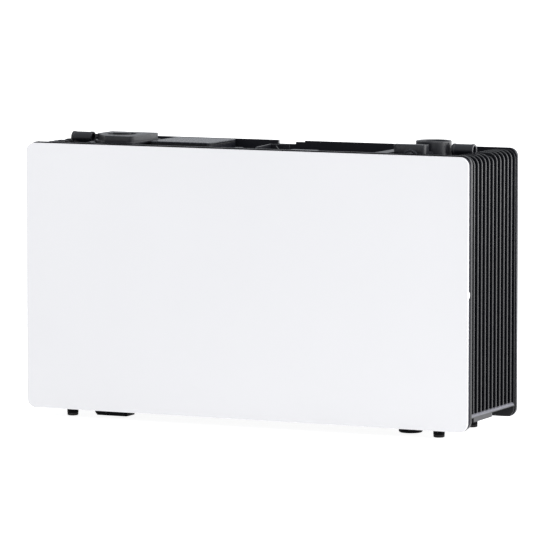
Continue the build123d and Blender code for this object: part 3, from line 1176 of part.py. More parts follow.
CHOKES = 3
CHOKE_R = 30.0
CHOKE_BORE_R = 12.5
CHOKE_H = 34.0
CHOKE_GAP = 12.0
CHOKE_PLACE = (50.0, 10.0)          # first choke's axis from the board's end and above its middle
CHOKE_FILLET = 6.0
choke_r = min(CHOKE_R, mount_h / 4)
choke_pitch = 2 * choke_r + CHOKE_GAP
choke_z = mount_mid + CHOKE_PLACE[1]
choke_points = [(POWER_X[0] + CHOKE_PLACE[0] + k * choke_pitch, choke_z) for k in range(CHOKES)]
with BuildPart() as chokes:
    stud(choke_points, BOARD_FRONT - CHOKE_H, BOARD_FRONT, choke_r)
    fillet(chokes.edges().filter_by(GeomType.CIRCLE).group_by(Axis.Y)[0], radius=CHOKE_FILLET)
    stud(choke_points, BOARD_FRONT - CHOKE_H, BOARD_FRONT, CHOKE_BORE_R, mode=Mode.SUBTRACT)
save(chokes.part, "chokes")

CAP_R = 11.0
CAP_H = 42.0
CAP_COLUMNS = 4
CAP_GAP = (5.0, 8.0)      # between capacitors, across and up
CAP_SPACE = 30.0          # from the last choke to the first capacitor's axis
CAP_FILLET = 1.5
cap_start = choke_points[-1][0] + choke_r + CAP_SPACE
cap_points = [
    (cap_start + k * (2 * CAP_R + CAP_GAP[0]), mount_mid + row * (CAP_R + CAP_GAP[1] / 2))
    for k in range(CAP_COLUMNS)
    for row in (-1, 1)
]
with BuildPart() as capacitors:
    stud(cap_points, BOARD_FRONT - CAP_H, BOARD_FRONT, CAP_R)
    fillet(capacitors.edges().filter_by(GeomType.CIRCLE).group_by(Axis.Y)[0], radius=CAP_FILLET)
save(capacitors.part, "capacitors")

# flat copper leads: a link between the modules, and one lead from each module upwards
LEAD_W = 18.0
LEAD_T = 3.0
LEAD_WALL_GAP = 3.0
lead_y = (FREE_TERMINAL - LEAD_W / 2, FREE_TERMINAL + LEAD_W / 2)
terminal_z = {place: floor + cell_h + TERMINAL_H for place, floor in FLOORS.items()}
LINK_OUT = 20.0
with BuildPart() as series_link:
    link_x = (STACK_RIGHT + END_PLATE_T + LINK_OUT, STACK_RIGHT + END_PLATE_T + LINK_OUT + LEAD_T)
    for bar_z in terminal_z.values():
        block((CELL_X[-1] - LEAD_W / 2, link_x[1]), lead_y, (bar_z, bar_z + LEAD_T))
    block(link_x, lead_y, (terminal_z["lower"], terminal_z["upper"] + LEAD_T))
save(series_link.part, "series_link")

with BuildPart() as pack_leads:
    bar_z = terminal_z["upper"]
    upper_x = (CELL_X[0] - LEAD_W / 2, CELL_X[0] + LEAD_W / 2)
    block(upper_x, lead_y, (bar_z, bar_z + LEAD_T))
    block(upper_x, (lead_y[0], lead_y[0] + LEAD_T), (bar_z, pole_z + LEAD_T / 2))
    block(upper_x, (lead_y[0], POLE_FRONT), (pole_z - LEAD_T / 2, pole_z + LEAD_T / 2))
    bar_z = terminal_z["lower"]
    wall_x = (-INNER_X + LEAD_WALL_GAP, -INNER_X + LEAD_WALL_GAP + LEAD_T)
    block((wall_x[0], CELL_X[0] + LEAD_W / 2), lead_y, (bar_z, bar_z + LEAD_T))
    block(wall_x, lead_y, (bar_z, FUSE_Z + LEAD_W / 2))
    fuse_lead_z = (FUSE_Z - LEAD_W / 2, FUSE_Z + LEAD_W / 2)
    block(wall_x, (lead_y[0], FUSE_DEPTH + FUSE_R), fuse_lead_z)
    link_z = (FUSE_Z - FUSE_R / 2, FUSE_Z + FUSE_R / 2)
    link_y = (FUSE_DEPTH - FUSE_R / 2, FUSE_DEPTH + FUSE_R / 2)
    block((wall_x[1], fuse_x[0]), link_y, link_z)
save(pack_leads.part, "pack_leads")
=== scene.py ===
"""Wall battery unit: materials, finer pieces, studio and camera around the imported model.

All lengths are in metres. +X runs along the unit, -Y is the front and +Z is up, as in the frame.
"""
import json
import math

import bmesh
import bpy
import numpy as np
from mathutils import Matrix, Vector


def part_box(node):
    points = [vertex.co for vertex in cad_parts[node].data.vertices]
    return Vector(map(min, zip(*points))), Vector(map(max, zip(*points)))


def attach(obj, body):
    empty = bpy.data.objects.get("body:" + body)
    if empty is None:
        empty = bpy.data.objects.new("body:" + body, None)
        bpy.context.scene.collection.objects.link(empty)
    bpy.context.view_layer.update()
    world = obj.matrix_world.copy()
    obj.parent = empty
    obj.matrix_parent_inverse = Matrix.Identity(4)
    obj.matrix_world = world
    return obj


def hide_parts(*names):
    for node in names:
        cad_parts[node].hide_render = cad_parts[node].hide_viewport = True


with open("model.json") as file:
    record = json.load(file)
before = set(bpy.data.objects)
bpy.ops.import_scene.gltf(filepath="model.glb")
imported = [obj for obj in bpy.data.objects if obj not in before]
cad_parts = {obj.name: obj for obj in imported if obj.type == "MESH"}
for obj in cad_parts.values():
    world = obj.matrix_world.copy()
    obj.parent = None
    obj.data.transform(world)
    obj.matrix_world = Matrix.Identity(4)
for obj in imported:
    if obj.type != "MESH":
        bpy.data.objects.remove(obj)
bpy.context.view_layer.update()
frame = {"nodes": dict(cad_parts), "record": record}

nodes = frame["nodes"]
MM = 0.001
NOISE_RANGE = (0.3, 0.7)       # where most of a fractal noise lies, between 0 and 1

# ---------------------------------------------------------------- node graph helpers


class Finish:
    """A material under construction: its node tree, its Principled shader and its object coordinates."""

    def __init__(self, name, colour, roughness, metallic=0.0, specular=0.5):
        self.material = bpy.data.materials.new(name)
        self.material.use_nodes = True
        self.tree = self.material.node_tree
        self.shader = self.tree.nodes["Principled BSDF"]
        self.set("Base Color", (*colour, 1.0))
        self.set("Roughness", roughness)
        self.set("Metallic", metallic)
        self.set("Specular IOR Level", specular)
        self.place = self.add("ShaderNodeTexCoord").outputs["Object"]

    def add(self, kind, **values):
        """New node; values set its properties."""
        node = self.tree.nodes.new(kind)
        for key, value in values.items():
            setattr(node, key, value)
        return node

    def set(self, socket, value):
        """Constant on one of the shader's own sockets."""
        self.shader.inputs[socket].default_value = value

    def link(self, output, target):
        """Joins an output to a socket, or to one of the shader's sockets by name."""
        if isinstance(target, str):
            target = self.shader.inputs[target]
        self.tree.links.new(output, target)

    def stretched(self, scale):
        """Object coordinates scaled along each axis."""
        mapping = self.add("ShaderNodeMapping")
        mapping.inputs["Scale"].default_value = scale
        self.link(self.place, mapping.inputs["Vector"])
        return mapping.outputs["Vector"]

    def noise(self, size, detail=3.0, vector=None, distortion=0.0):
        """Fractal noise whose largest features measure about size metres."""
        node = self.add("ShaderNodeTexNoise")
        node.inputs["Scale"].default_value = 1.0 / size
        node.inputs["Detail"].default_value = detail
        node.inputs["Distortion"].default_value = distortion
        self.link(vector or self.place, node.inputs["Vector"])
        return node.outputs["Fac"]

    def cells(self, size, feature="F1"):
        """Cellular pattern with cells of about size metres."""
        node = self.add("ShaderNodeTexVoronoi", feature=feature)
        node.inputs["Scale"].default_value = 1.0 / size
        self.link(self.place, node.inputs["Vector"])
        return node.outputs["Distance"]

    def between(self, factor, low, high, start=0.0, end=1.0):
        """Factor from low..high carried to start..end, clamped."""
        node = self.add("ShaderNodeMapRange")
        self.link(factor, node.inputs["Value"])
        node.inputs["From Min"].default_value = low
        node.inputs["From Max"].default_value = high
        node.inputs["To Min"].default_value = start
        node.inputs["To Max"].default_value = end
        return node.outputs["Result"]

    def spread(self, noise, start=0.0, end=1.0):
        """The range that a noise mostly keeps to, carried to start..end."""
        return self.between(noise, *NOISE_RANGE, start, end)

    def math(self, operation, first, second):
        """Two values, sockets or numbers, joined by a math operation."""
        node = self.add("ShaderNodeMath", operation=operation)
        for slot, value in enumerate((first, second)):
            if isinstance(value, (int, float)):
                node.inputs[slot].default_value = value
            else:
                self.link(value, node.inputs[slot])
        return node.outputs["Value"]

    def blend(self, factor, first, second):
        """Colour between two colours or sockets."""
        node = self.add("ShaderNodeMix", data_type="RGBA")
        self.link(factor, node.inputs["Factor"])
        for socket, value in ((node.inputs[6], first), (node.inputs[7], second)):
            if isinstance(value, tuple):
                socket.default_value = (*value, 1.0)
            else:
                self.link(value, socket)
        return node.outputs[2]

    def rounded(self, radius):
        """Normal with sharp edges softened to a radius."""
        node = self.add("ShaderNodeBevel", samples=4)
        node.inputs["Radius"].default_value = radius
        return node.outputs["Normal"]

    def edges(self, radius):
        """Mask that is 1 on sharp edges and 0 on flat faces."""
        soft = self.rounded(radius)
        true_normal = self.add("ShaderNodeNewGeometry").outputs["Normal"]
        dot = self.add("ShaderNodeVectorMath", operation="DOT_PRODUCT")
        self.link(soft, dot.inputs[0])
        self.link(true_normal, dot.inputs[1])
        flat_cosine, edge_cosine = 0.995, 0.86
        return self.between(dot.outputs["Value"], flat_cosine, edge_cosine)

    def bump(self, height, depth, strength=1.0, normal=None):
        """Surface relief of a height pattern; depth is the relief in metres."""
        node = self.add("ShaderNodeBump")
        node.inputs["Strength"].default_value = strength
        node.inputs["Distance"].default_value = depth
        self.link(height, node.inputs["Height"])
        if normal is not None:
            self.link(normal, node.inputs["Normal"])
        self.link(node.outputs["Normal"], "Normal")


def scaled(colour, factor):
    """A colour made lighter or darker."""
    return tuple(channel * factor for channel in colour)


# ---------------------------------------------------------------- finishes


def powder_coat(name, colour, roughness, grain=0.9 * MM, relief=0.05 * MM, wear_and_highlight=2.2, specular=0.2):
    """Powder coat: fine orange peel, faint cloudy tone and edges painted lighter in patches, as wear and as
    a painted highlight.

    Grain and relief are the peel's width and height, and the edge factor (rub) is how much lighter an edge
    is painted, as wear and as a painted highlight.
    """
    f = Finish(name, colour, roughness, 0.0, specular)
    cloud = f.spread(f.noise(120 * MM, 4))
    tone = f.blend(cloud, scaled(colour, 0.88), scaled(colour, 1.12))
    # Edges are painted lighter in patches: partly wear, partly a painted highlight.
    worn_and_highlit = f.math("MULTIPLY", f.edges(0.7 * MM), f.between(f.noise(20 * MM, 3), 0.35, 0.7))
    f.link(f.blend(worn_and_highlit, tone, scaled(colour, wear_and_highlight)), "Base Color")
    f.link(f.spread(f.noise(4 * MM, 3), roughness - 0.05, roughness + 0.07), "Roughness")
    f.bump(f.noise(grain, 2), relief, 0.5, f.rounded(0.6 * MM))
    return f.material


def panel_white():
    """Satin white sheet: very fine peel, a faint tone drift and slightly uneven gloss."""
    colour = (0.674, 0.670, 0.680)
    f = Finish("panel_white", colour, 0.34, 0.0, 0.4)
    drift = f.spread(f.noise(500 * MM, 2))
    f.link(f.blend(drift, scaled(colour, 0.985), scaled(colour, 1.01)), "Base Color")
    f.link(f.spread(f.noise(30 * MM, 4), 0.31, 0.37), "Roughness")
    f.set("Coat Weight", 0.15)
    f.set("Coat Roughness", 0.25)
    f.bump(f.noise(1.6 * MM, 2), 0.02 * MM, 0.35, f.rounded(0.5 * MM))
    return f.material


def moulded_plastic(name, colour, roughness, grain=0.5 * MM, specular=0.3):
    """Injection-moulded plastic: spark-eroded grain, faint flow tone, softened edges and a painted
    highlight along them.
    """
    f = Finish(name, colour, roughness, 0.0, specular)
    flow = f.spread(f.noise(60 * MM, 3, f.stretched((1.0, 0.35, 1.0)), 0.6))
    tone = f.blend(flow, scaled(colour, 0.9), scaled(colour, 1.1))
    # Edges are painted 1.7 times lighter: a painted highlight.
    f.link(f.blend(f.edges(0.6 * MM), tone, scaled(colour, 1.7)), "Base Color")
    f.link(f.spread(f.noise(6 * MM, 3), roughness - 0.06, roughness + 0.06), "Roughness")
    f.bump(f.cells(grain, "SMOOTH_F1"), 0.04 * MM, 0.6, f.rounded(0.5 * MM))
    return f.material


def black_rubber(name, colour):
    """Rubber: matt, dusty in patches, with a soft pebbled skin."""
    f = Finish(name, colour, 0.75, 0.0, 0.3)
    dust = f.between(f.noise(15 * MM, 4), 0.45, 0.75)
    f.link(f.blend(dust, colour, scaled(colour, 2.2)), "Base Color")
    f.link(f.spread(f.noise(3 * MM, 2), 0.68, 0.85), "Roughness")
    f.bump(f.noise(0.8 * MM, 3), 0.08 * MM, 0.6)
    return f.material


LINE = 0.5 * MM                # width of the lines that drawing leaves on metal
LINE_RELIEF = 0.03 * MM


def brushed(name, colour, roughness, stretch):
    """Drawn or brushed metal: long fine lines along one axis, in tone, gloss and relief."""
    f = Finish(name, colour, roughness, 1.0)
    lines = f.noise(LINE, 3, f.stretched(stretch))
    f.link(f.blend(f.spread(lines), scaled(colour, 0.82), scaled(colour, 1.12)), "Base Color")
    smudge = f.noise(50 * MM, 4)
    low, high = roughness - 0.08, roughness + 0.1
    f.link(f.between(f.math("ADD", lines, smudge), 0.8, 1.3, low, high), "Roughness")
    f.bump(lines, LINE_RELIEF, 0.4, f.rounded(0.4 * MM))
    return f.material


def bar_with_painted_shade(name, colour, shade_height):
    """Anodised extrusion: a bare chamfer above a height, and below it the skirt painted much darker as
    painted shade.
    """
    f = Finish(name, colour, 0.36, 0.7)
    lines = f.noise(LINE, 3, f.stretched((1.0, 0.02, 1.0)))
    bare = f.blend(f.spread(lines), scaled(colour, 0.85), scaled(colour, 1.12))
    level = f.add("ShaderNodeSeparateXYZ")
    f.link(f.place, level.inputs["Vector"])
    above = f.between(level.outputs["Z"], shade_height - 0.5 * MM, shade_height + 0.5 * MM)
    # Below the height the colour is 0.15 of the bare metal's: painted shade on the skirt.
    f.link(f.blend(above, scaled(colour, 0.15), bare), "Base Color")
    f.link(f.spread(f.noise(50 * MM, 4), 0.32, 0.44), "Roughness")
    f.bump(lines, LINE_RELIEF, 0.4, f.rounded(0.4 * MM))
    return f.material


def zinc(name, colour):
    """Zinc plate: fine spangle with blue and yellow passivation tints."""
    f = Finish(name, colour, 0.32, 1.0)
    spangle = f.between(f.cells(1.2 * MM), 0.0, 0.6)
    yellow, blue = (0.62, 0.58, 0.45), (0.48, 0.52, 0.60)
    tint = f.blend(f.between(f.noise(8 * MM, 3), 0.35, 0.65), yellow, blue)
    f.link(f.blend(spangle, scaled(colour, 0.85), tint), "Base Color")
    f.link(f.spread(f.noise(2 * MM, 3), 0.24, 0.42), "Roughness")
    f.bump(f.noise(0.4 * MM, 2), 0.02 * MM, 0.4)
    return f.material


def circuit_board(name, colour):
    """Solder mask over copper tracks: straight tracks show as a lighter, raised pattern."""
    f = Finish(name, colour, 0.28)
    track = f.add("ShaderNodeTexBrick", offset=0.35, squash=1.0)
    track.inputs["Scale"].default_value = 120.0
    track.inputs["Mortar Size"].default_value = 0.06
    track.inputs["Mortar Smooth"].default_value = 0.1
    f.link(f.place, track.inputs["Vector"])
    fade = f.between(f.noise(30 * MM, 2), 0.4, 0.6)
    lines = f.math("MULTIPLY", track.outputs["Fac"], fade)
    f.link(f.blend(lines, colour, scaled(colour, 2.0)), "Base Color")
    f.bump(lines, 0.05 * MM, 0.6)
    return f.material


def cell_film(name, colour):
    """Blue insulating film shrunk over a cell can: soft wrinkles and an uneven gloss."""
    f = Finish(name, colour, 0.3)
    folds = f.noise(20 * MM, 3, f.stretched((3.0, 3.0, 0.6)), 1.2)
    f.link(f.blend(f.spread(folds), scaled(colour, 0.8), scaled(colour, 1.15)), "Base Color")
    f.link(f.spread(f.noise(10 * MM, 3), 0.22, 0.4), "Roughness")
    f.bump(folds, 0.2 * MM, 0.4)
    return f.material


def wound_copper(name, colour):
    """Enamelled copper wire in close rings across the coil, painted darker in the grooves between turns as
    painted shade.
    """
    f = Finish(name, colour, 0.25, 0.8)
    wave = f.add("ShaderNodeTexWave", bands_direction="DIAGONAL")
    wave.inputs["Scale"].default_value = 90.0
    wave.inputs["Distortion"].default_value = 0.4
    f.link(f.place, wave.inputs["Vector"])
    # The wave's low bands, the grooves between turns, are painted at 0.45 of the copper's colour: painted
    # shade.
    f.link(f.blend(wave.outputs["Fac"], scaled(colour, 0.45), scaled(colour, 1.2)), "Base Color")
    f.bump(wave.outputs["Fac"], 0.5 * MM, 0.8)
    return f.material


BAR_CHAMFER = 6 * MM           # height of the ledge bar's bare chamfer
# The ledge bar is painted darker below this height, as painted shade.
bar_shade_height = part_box("ledge_bar_right")[1][2] - BAR_CHAMFER

FINISHES = {
    "panel_white": panel_white(),
    "bezel_dark": powder_coat("bezel_dark", (0.016, 0.016, 0.023), 0.45, specular=0.06),
    "cast_dark": powder_coat("cast_dark", (0.0036, 0.0039, 0.0056), 0.28, grain=1.4 * MM, wear_and_highlight=1.6),
    "bar_grey": bar_with_painted_shade("bar_grey", (0.18, 0.18, 0.205), bar_shade_height),
    "plate_dark": powder_coat("plate_dark", (0.0115, 0.0118, 0.0155), 0.34, specular=0.26),
    "plastic_dark": moulded_plastic("plastic_dark", (0.010, 0.0105, 0.0145), 0.32, specular=0.42),
    "knob_dark": moulded_plastic("knob_dark", (0.014, 0.014, 0.016), 0.4, grain=0.35 * MM),
    "switch_grey": moulded_plastic("switch_grey", (0.10, 0.105, 0.12), 0.45),
    "rubber_black": black_rubber("rubber_black", (0.012, 0.012, 0.012)),
    "zinc_steel": zinc("zinc_steel", (0.56, 0.57, 0.60)),
    "stud_white": moulded_plastic("stud_white", (0.68, 0.69, 0.71), 0.4),
    "bare_aluminium": brushed("bare_aluminium", (0.70, 0.71, 0.73), 0.35, (0.02, 1.0, 1.0)),
    "cell_case": cell_film("cell_case", (0.02, 0.07, 0.24)),
    "busbar_metal": brushed("busbar_metal", (0.80, 0.42, 0.26), 0.3, (0.05, 1.0, 1.0)),
    "board_green": circuit_board("board_green", (0.01, 0.11, 0.05)),
    "winding": wound_copper("winding", (0.62, 0.24, 0.10)),
    "capacitor_sleeve": moulded_plastic("capacitor_sleeve", (0.01, 0.014, 0.05), 0.25),
}

# Finishes of single pieces, in place of their slot's: the lids and gland, what stands on the deck, and
# what hangs below the unit, which gets a much darker plastic as painted shade.
LID_FINISH = moulded_plastic("lid_satin", (0.022, 0.0235, 0.030), 0.26, grain=0.6 * MM, specular=0.5)
TOP_FINISH = powder_coat(
    "top_coat", (0.0105, 0.011, 0.015), 0.34, grain=1.1 * MM, relief=0.03 * MM, wear_and_highlight=1.3, specular=0.5
)
# Plastic painted almost black, with little sheen, for the pieces under the unit: painted shade.
UNDER_SHADED_FINISH = moulded_plastic("under_painted_shade", (0.002, 0.002, 0.0028), 0.55, specular=0.06)
NODE_FINISHES = {
    "wiring_lid": LID_FINISH,
    "port_cover": LID_FINISH,
    "conduit_housing": TOP_FINISH,
    "isolator_housing": TOP_FINISH,
    "isolator_cover": TOP_FINISH,
    "hanger_bracket": TOP_FINISH,
    "heatsink_screws": FINISHES["cast_dark"],
    "plate_bolts": FINISHES["knob_dark"],
    "outlet_box": UNDER_SHADED_FINISH,
    "vent_pod": UNDER_SHADED_FINISH,
}

for part in frame["record"]["subparts"]:
    node = nodes[part["node"]]
    if not node.material_slots:
        node.data.materials.append(None)
    for holder in node.material_slots:
        holder.material = NODE_FINISHES.get(part["node"], FINISHES[part["material_slot"]])

# ---------------------------------------------------------------- shells: arrays of points and faces

LEAST_R = 0.02 * MM            # smallest radius that a corner keeps


def outline(corners, radii, inset, steps):
    """Closed outline through anticlockwise corners, each rounded by an arc of its own radius.

    The polygon is first drawn in by inset: each corner moves by the mitre of its two edges' inward
    normals. An arc then joins the two edges, its radius less the inset, or plus it at a hollow corner.
    """
    corner = np.asarray(corners, float)
    radius = np.broadcast_to(np.asarray(radii, float), (len(corner),))
    into = corner - np.roll(corner, 1, axis=0)
    into /= np.linalg.norm(into, axis=1, keepdims=True)
    away = np.roll(into, -1, axis=0)
    turn = np.arctan2(into[:, 0] * away[:, 1] - into[:, 1] * away[:, 0], (into * away).sum(1))
    side = np.sign(turn)
    inward = np.stack([-into[:, 1], into[:, 0]], axis=1)
    inward_next = np.stack([-away[:, 1], away[:, 0]], axis=1)
    moved = corner + inset * (inward + inward_next) / (1 + np.cos(turn))[:, None]
    bend = np.maximum(radius - side * inset, LEAST_R)
    centre = moved - into * (bend * np.tan(np.abs(turn) / 2))[:, None] + inward * (side * bend)[:, None]
    start = -inward * side[:, None]
    angle = turn[:, None] * np.linspace(0, 1, steps)
    cos, sin = np.cos(angle), np.sin(angle)
    x = start[:, :1] * cos - start[:, 1:] * sin
    y = start[:, :1] * sin + start[:, 1:] * cos
    points = centre[:, None] + bend[:, None, None] * np.stack([x, y], axis=2)
    return points.reshape(-1, 2)


def placed(flat, height, axis):
    """Outline points at a height along an axis: x takes (y, z), y takes (x, z) and z takes (x, y)."""
    level = np.broadcast_to(height, flat.shape[:-1])
    order = {"x": (level, flat[..., 0], flat[..., 1]), "y": (flat[..., 0], level, flat[..., 1])}
    return np.stack(order.get(axis, (flat[..., 0], flat[..., 1], level)), axis=-1)


def loft(rings, closed=False):
    """Skin over rings of equal length: quads between neighbours, and a flat cap on each end ring.

    A closed loft joins its last ring to its first and has no caps.
    """
    count, size = rings.shape[:2]
    index = np.arange(count * size).reshape(count, size)
    low = index if closed else index[:-1]
    high = np.roll(index, -1, axis=0) if closed else index[1:]
    quads = np.stack([low, np.roll(low, -1, 1), np.roll(high, -1, 1), high], axis=-1).reshape(-1, 4)
    caps = [] if closed else [index[:1, ::-1], index[-1:]]
    return rings.reshape(-1, 3), [quads, *caps]


def profiled(corners, radii, profile, axis, steps):
    """Solid whose outline is drawn in by an inset at each height; profile lists (inset, height)."""
    rings = [placed(outline(corners, radii, inset, steps), height, axis) for inset, height in profile]
    return loft(np.array(rings))


def prism(corners, radii, low, high, edge, axis, steps, bend=4):
    """Prism between two heights whose end edges are rounded: inset and height follow a quarter circle.

    Steps is the number of points round each corner of the outline, and bend that round its end edges.
    """
    turn = np.linspace(0, math.pi / 2, bend)
    inset = edge * (1 - np.sin(turn))
    rise = edge * (1 - np.cos(turn))
    profile = [*zip(inset, low + rise), *zip(inset[::-1], high - rise[::-1])]
    return profiled(corners, radii, profile, axis, steps)


def rectangle(first, second):
    """Corners of a rectangle from its spans, anticlockwise."""
    (a, b), (c, d) = first, second
    return [(a, c), (b, c), (b, d), (a, d)]


def bar(x, y, z, edge, corner=None):
    """Box between spans with rounded edges; corner is the radius of its upright edges."""
    return prism(rectangle(x, y), corner or edge, *z, edge, "z", steps=4, bend=3)


def arc(centre, radius, start, end, steps):
    """Points of an arc in a profile, its angles in degrees."""
    angle = np.radians(np.linspace(start, end, steps))
    return [*zip(centre[0] + radius * np.cos(angle), centre[1] + radius * np.sin(angle))]


def hexagon(angle):
    """Distance from a hexagon's middle to its side at an angle, as a share of its inner circle's radius."""
    return 1 / np.cos((angle + math.pi / 6) % (math.pi / 3) - math.pi / 6)


def revolved(profile, centre, axis="z", sides=48, shape=None, shaped=()):
    """Solid of revolution: profile lists (radius, height) from one end of the axis to the other.

    Radii are multiplied by shape(angle) at the profile points numbered in shaped. The end rings are capped.
    """
    radius, height = np.array(profile, float).T
    angle = np.linspace(0, 2 * math.pi, sides, endpoint=False)
    factor = np.ones((len(radius), sides))
    if shape is not None:
        factor[list(shaped)] = shape(angle)
    reach = radius[:, None] * factor
    flat = np.stack([reach * np.cos(angle), reach * np.sin(angle)], axis=-1)
    rings = placed(flat, height[:, None], axis) + np.asarray(centre)
    return loft(rings)


def tube(profile, centre, axis="z", sides=64):
    """Ring of revolution: the closed profile of (radius, height) carried round the axis."""
    radius, height = np.array(profile, float).T
    angle = np.linspace(0, 2 * math.pi, sides, endpoint=False)
    flat = radius[:, None, None] * np.stack([np.cos(angle), np.sin(angle)], axis=-1)
    return loft(placed(flat, height[:, None], axis) + np.asarray(centre), closed=True)


def mirrored(shells):
    """The same shells on the other side of the unit; their faces are turned over to point outwards."""
    return [(points * (-1, 1, 1), [f[:, ::-1] for f in faces]) for points, faces in shells]


def piece(name, shells, body, slot, replaces=(), finish=None, sharp=38):
    """Makes one object from shells, shaded smooth except across edges sharper than an angle."""
    start, points, loops, sizes = 0, [], [], []
    for shell_points, faces in shells:
        points.append(shell_points)
        loops += [(f + start).ravel() for f in faces]
        sizes += [np.full(len(f), f.shape[1]) for f in faces]
        start += len(shell_points)
    points, loops, sizes = np.concatenate(points), np.concatenate(loops), np.concatenate(sizes)
    mesh = bpy.data.meshes.new(name)
    mesh.vertices.add(len(points))
    mesh.vertices.foreach_set("co", points.astype(np.float32).ravel())
    mesh.loops.add(len(loops))
    mesh.loops.foreach_set("vertex_index", loops.astype(np.int32))
    mesh.polygons.add(len(sizes))
    mesh.polygons.foreach_set("loop_start", (np.cumsum(sizes) - sizes).astype(np.int32))
    mesh.update(calc_edges=True)
    mesh.validate()
    tidy = bmesh.new()
    tidy.from_mesh(mesh)
    bmesh.ops.recalc_face_normals(tidy, faces=tidy.faces)
    tidy.to_mesh(mesh)
    tidy.free()
    mesh.shade_smooth()
    mesh.set_sharp_from_angle(angle=math.radians(sharp))
    mesh.materials.append(finish or FINISHES[slot])
    thing = bpy.data.objects.new(name, mesh)
    bpy.context.scene.collection.objects.link(thing)
    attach(thing, body)
    if replaces:
        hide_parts(*replaces)
    return thing


def low_high(node):
    """Lowest and highest corner of a CAD node as arrays."""
    low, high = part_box(node)
    return np.array(low), np.array(high)


# ---------------------------------------------------------------- finned sides

FIN_COUNT = 12
FIN_FIRST_GAP = 15 * MM        # first fin's middle behind the heatsink's front
FIN_T = 8 * MM                 # a fin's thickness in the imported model
FIN_PLATE_T = 6.4 * MM         # its thickness here
FIN_EDGE = 1.3 * MM            # rounding of its edges
FIN_STEPS = 8                  # points round each corner of its outline
FIN_CORNER_R = 20 * MM         # corner between side and top
FIN_INNER_R = 5 * MM           # corner at the inner end, over the deck
FIN_ROOT_R = 0.5 * MM
FIN_ROOT_SINK = 1 * MM         # how far its root runs into the base
SINK_BASE_T = 6 * MM
SINK_SHELF_T = 5 * MM
SINK_EDGE = 0.6 * MM
TAIL_LAP = 3 * MM              # lap of the last fin and its tail, which stands behind the ledge bar
TAIL_R = 1 * MM
TAIL_CORNER_R = 18 * MM
TAIL_EDGE = 1.6 * MM
ROD_FIN = 5                    # the fin cut down for a lifting rod, counted from 0 at the front
ROD_FIN_DROP = 6 * MM
ROD_FIN_R = 2 * MM
ROD_FIN_END_R = 3 * MM
SLEEVE_RELIEF = (13 * MM, 12 * MM)   # length and depth of that fin's step beside the lifting sleeve


def heatsink():
    """Right-hand heatsink: a base, a shelf over the deck, and fins that wrap over the upper corner.

    Each fin is a plate across the depth whose outline runs up the side, round the corner and back over
    the deck, with all its edges rounded. The fin in line with the lifting sleeve is lower, and the last
    fin goes on down behind the ledge bar as a thicker tail.
    """
    low, high = low_high("heatsink_right")
    bar_low, bar_high = low_high("ledge_bar_right")
    deck = low_high("wiring_box")[0][2]
    shelf, foot, wall_x = deck + SINK_SHELF_T, bar_high[2], bar_low[0]
    face_x, tip, inner = wall_x + SINK_BASE_T, high[0], low[0]
    depth = (low[1], high[1])
    tail = rectangle((wall_x, tip), (low[2], foot + TAIL_LAP))
    tail_radii = [TAIL_R, TAIL_CORNER_R, TAIL_R, TAIL_R]
    shells = [
        bar((wall_x, face_x), depth, (foot, shelf), SINK_EDGE),
        bar((inner, face_x), depth, (deck, shelf), SINK_EDGE),
        prism(tail, tail_radii, high[1] - FIN_T, high[1], TAIL_EDGE, "y", FIN_STEPS),
    ]
    first, last = low[1] + FIN_FIRST_GAP, high[1] - FIN_T / 2
    root, half = face_x - FIN_ROOT_SINK, FIN_PLATE_T / 2
    for number, middle in enumerate(np.linspace(first, last, FIN_COUNT)):
        corners = [(root, foot), (tip, foot), (tip, high[2]), (inner, high[2])]
        radii = [FIN_ROOT_R, FIN_EDGE, FIN_CORNER_R, FIN_INNER_R]
        if number == ROD_FIN:
            cut, lower = high[2] - ROD_FIN_DROP, high[2] - SLEEVE_RELIEF[1]
            step = inner + SLEEVE_RELIEF[0]
            corners[2:] = [(tip, cut), (step, cut), (step, lower), (inner, lower)]
            radii[2:] = [FIN_CORNER_R - ROD_FIN_DROP, ROD_FIN_R, ROD_FIN_R, ROD_FIN_END_R]
        corners += [(inner, deck), (root, deck)]
        radii += [FIN_ROOT_R, FIN_ROOT_R]
        shells.append(prism(corners, radii, middle - half, middle + half, FIN_EDGE, "y", FIN_STEPS))
    return shells


right_sink = heatsink()
piece("side_fins_right", right_sink, "housing", "cast_dark", ["heatsink_right"])
piece("side_fins_left", mirrored(right_sink), "housing", "cast_dark", ["heatsink_left"])

# ---------------------------------------------------------------- conduit hub

HUB_BORE_R = 31 * MM
HUB_SIDES = 96
HUB_RIM = 3 * MM               # plain height above the thread
HUB_EDGE = 2 * MM              # rounding of the rim's outer edge
THREAD_PITCH = 2.2 * MM
THREAD_DEPTH = 0.55 * MM
THREAD_ROWS = 150
THREAD_END = 1 * MM            # plain height below the thread
HUB_SHARP = 50                 # degrees past which an edge stays sharp, so that the thread is smooth


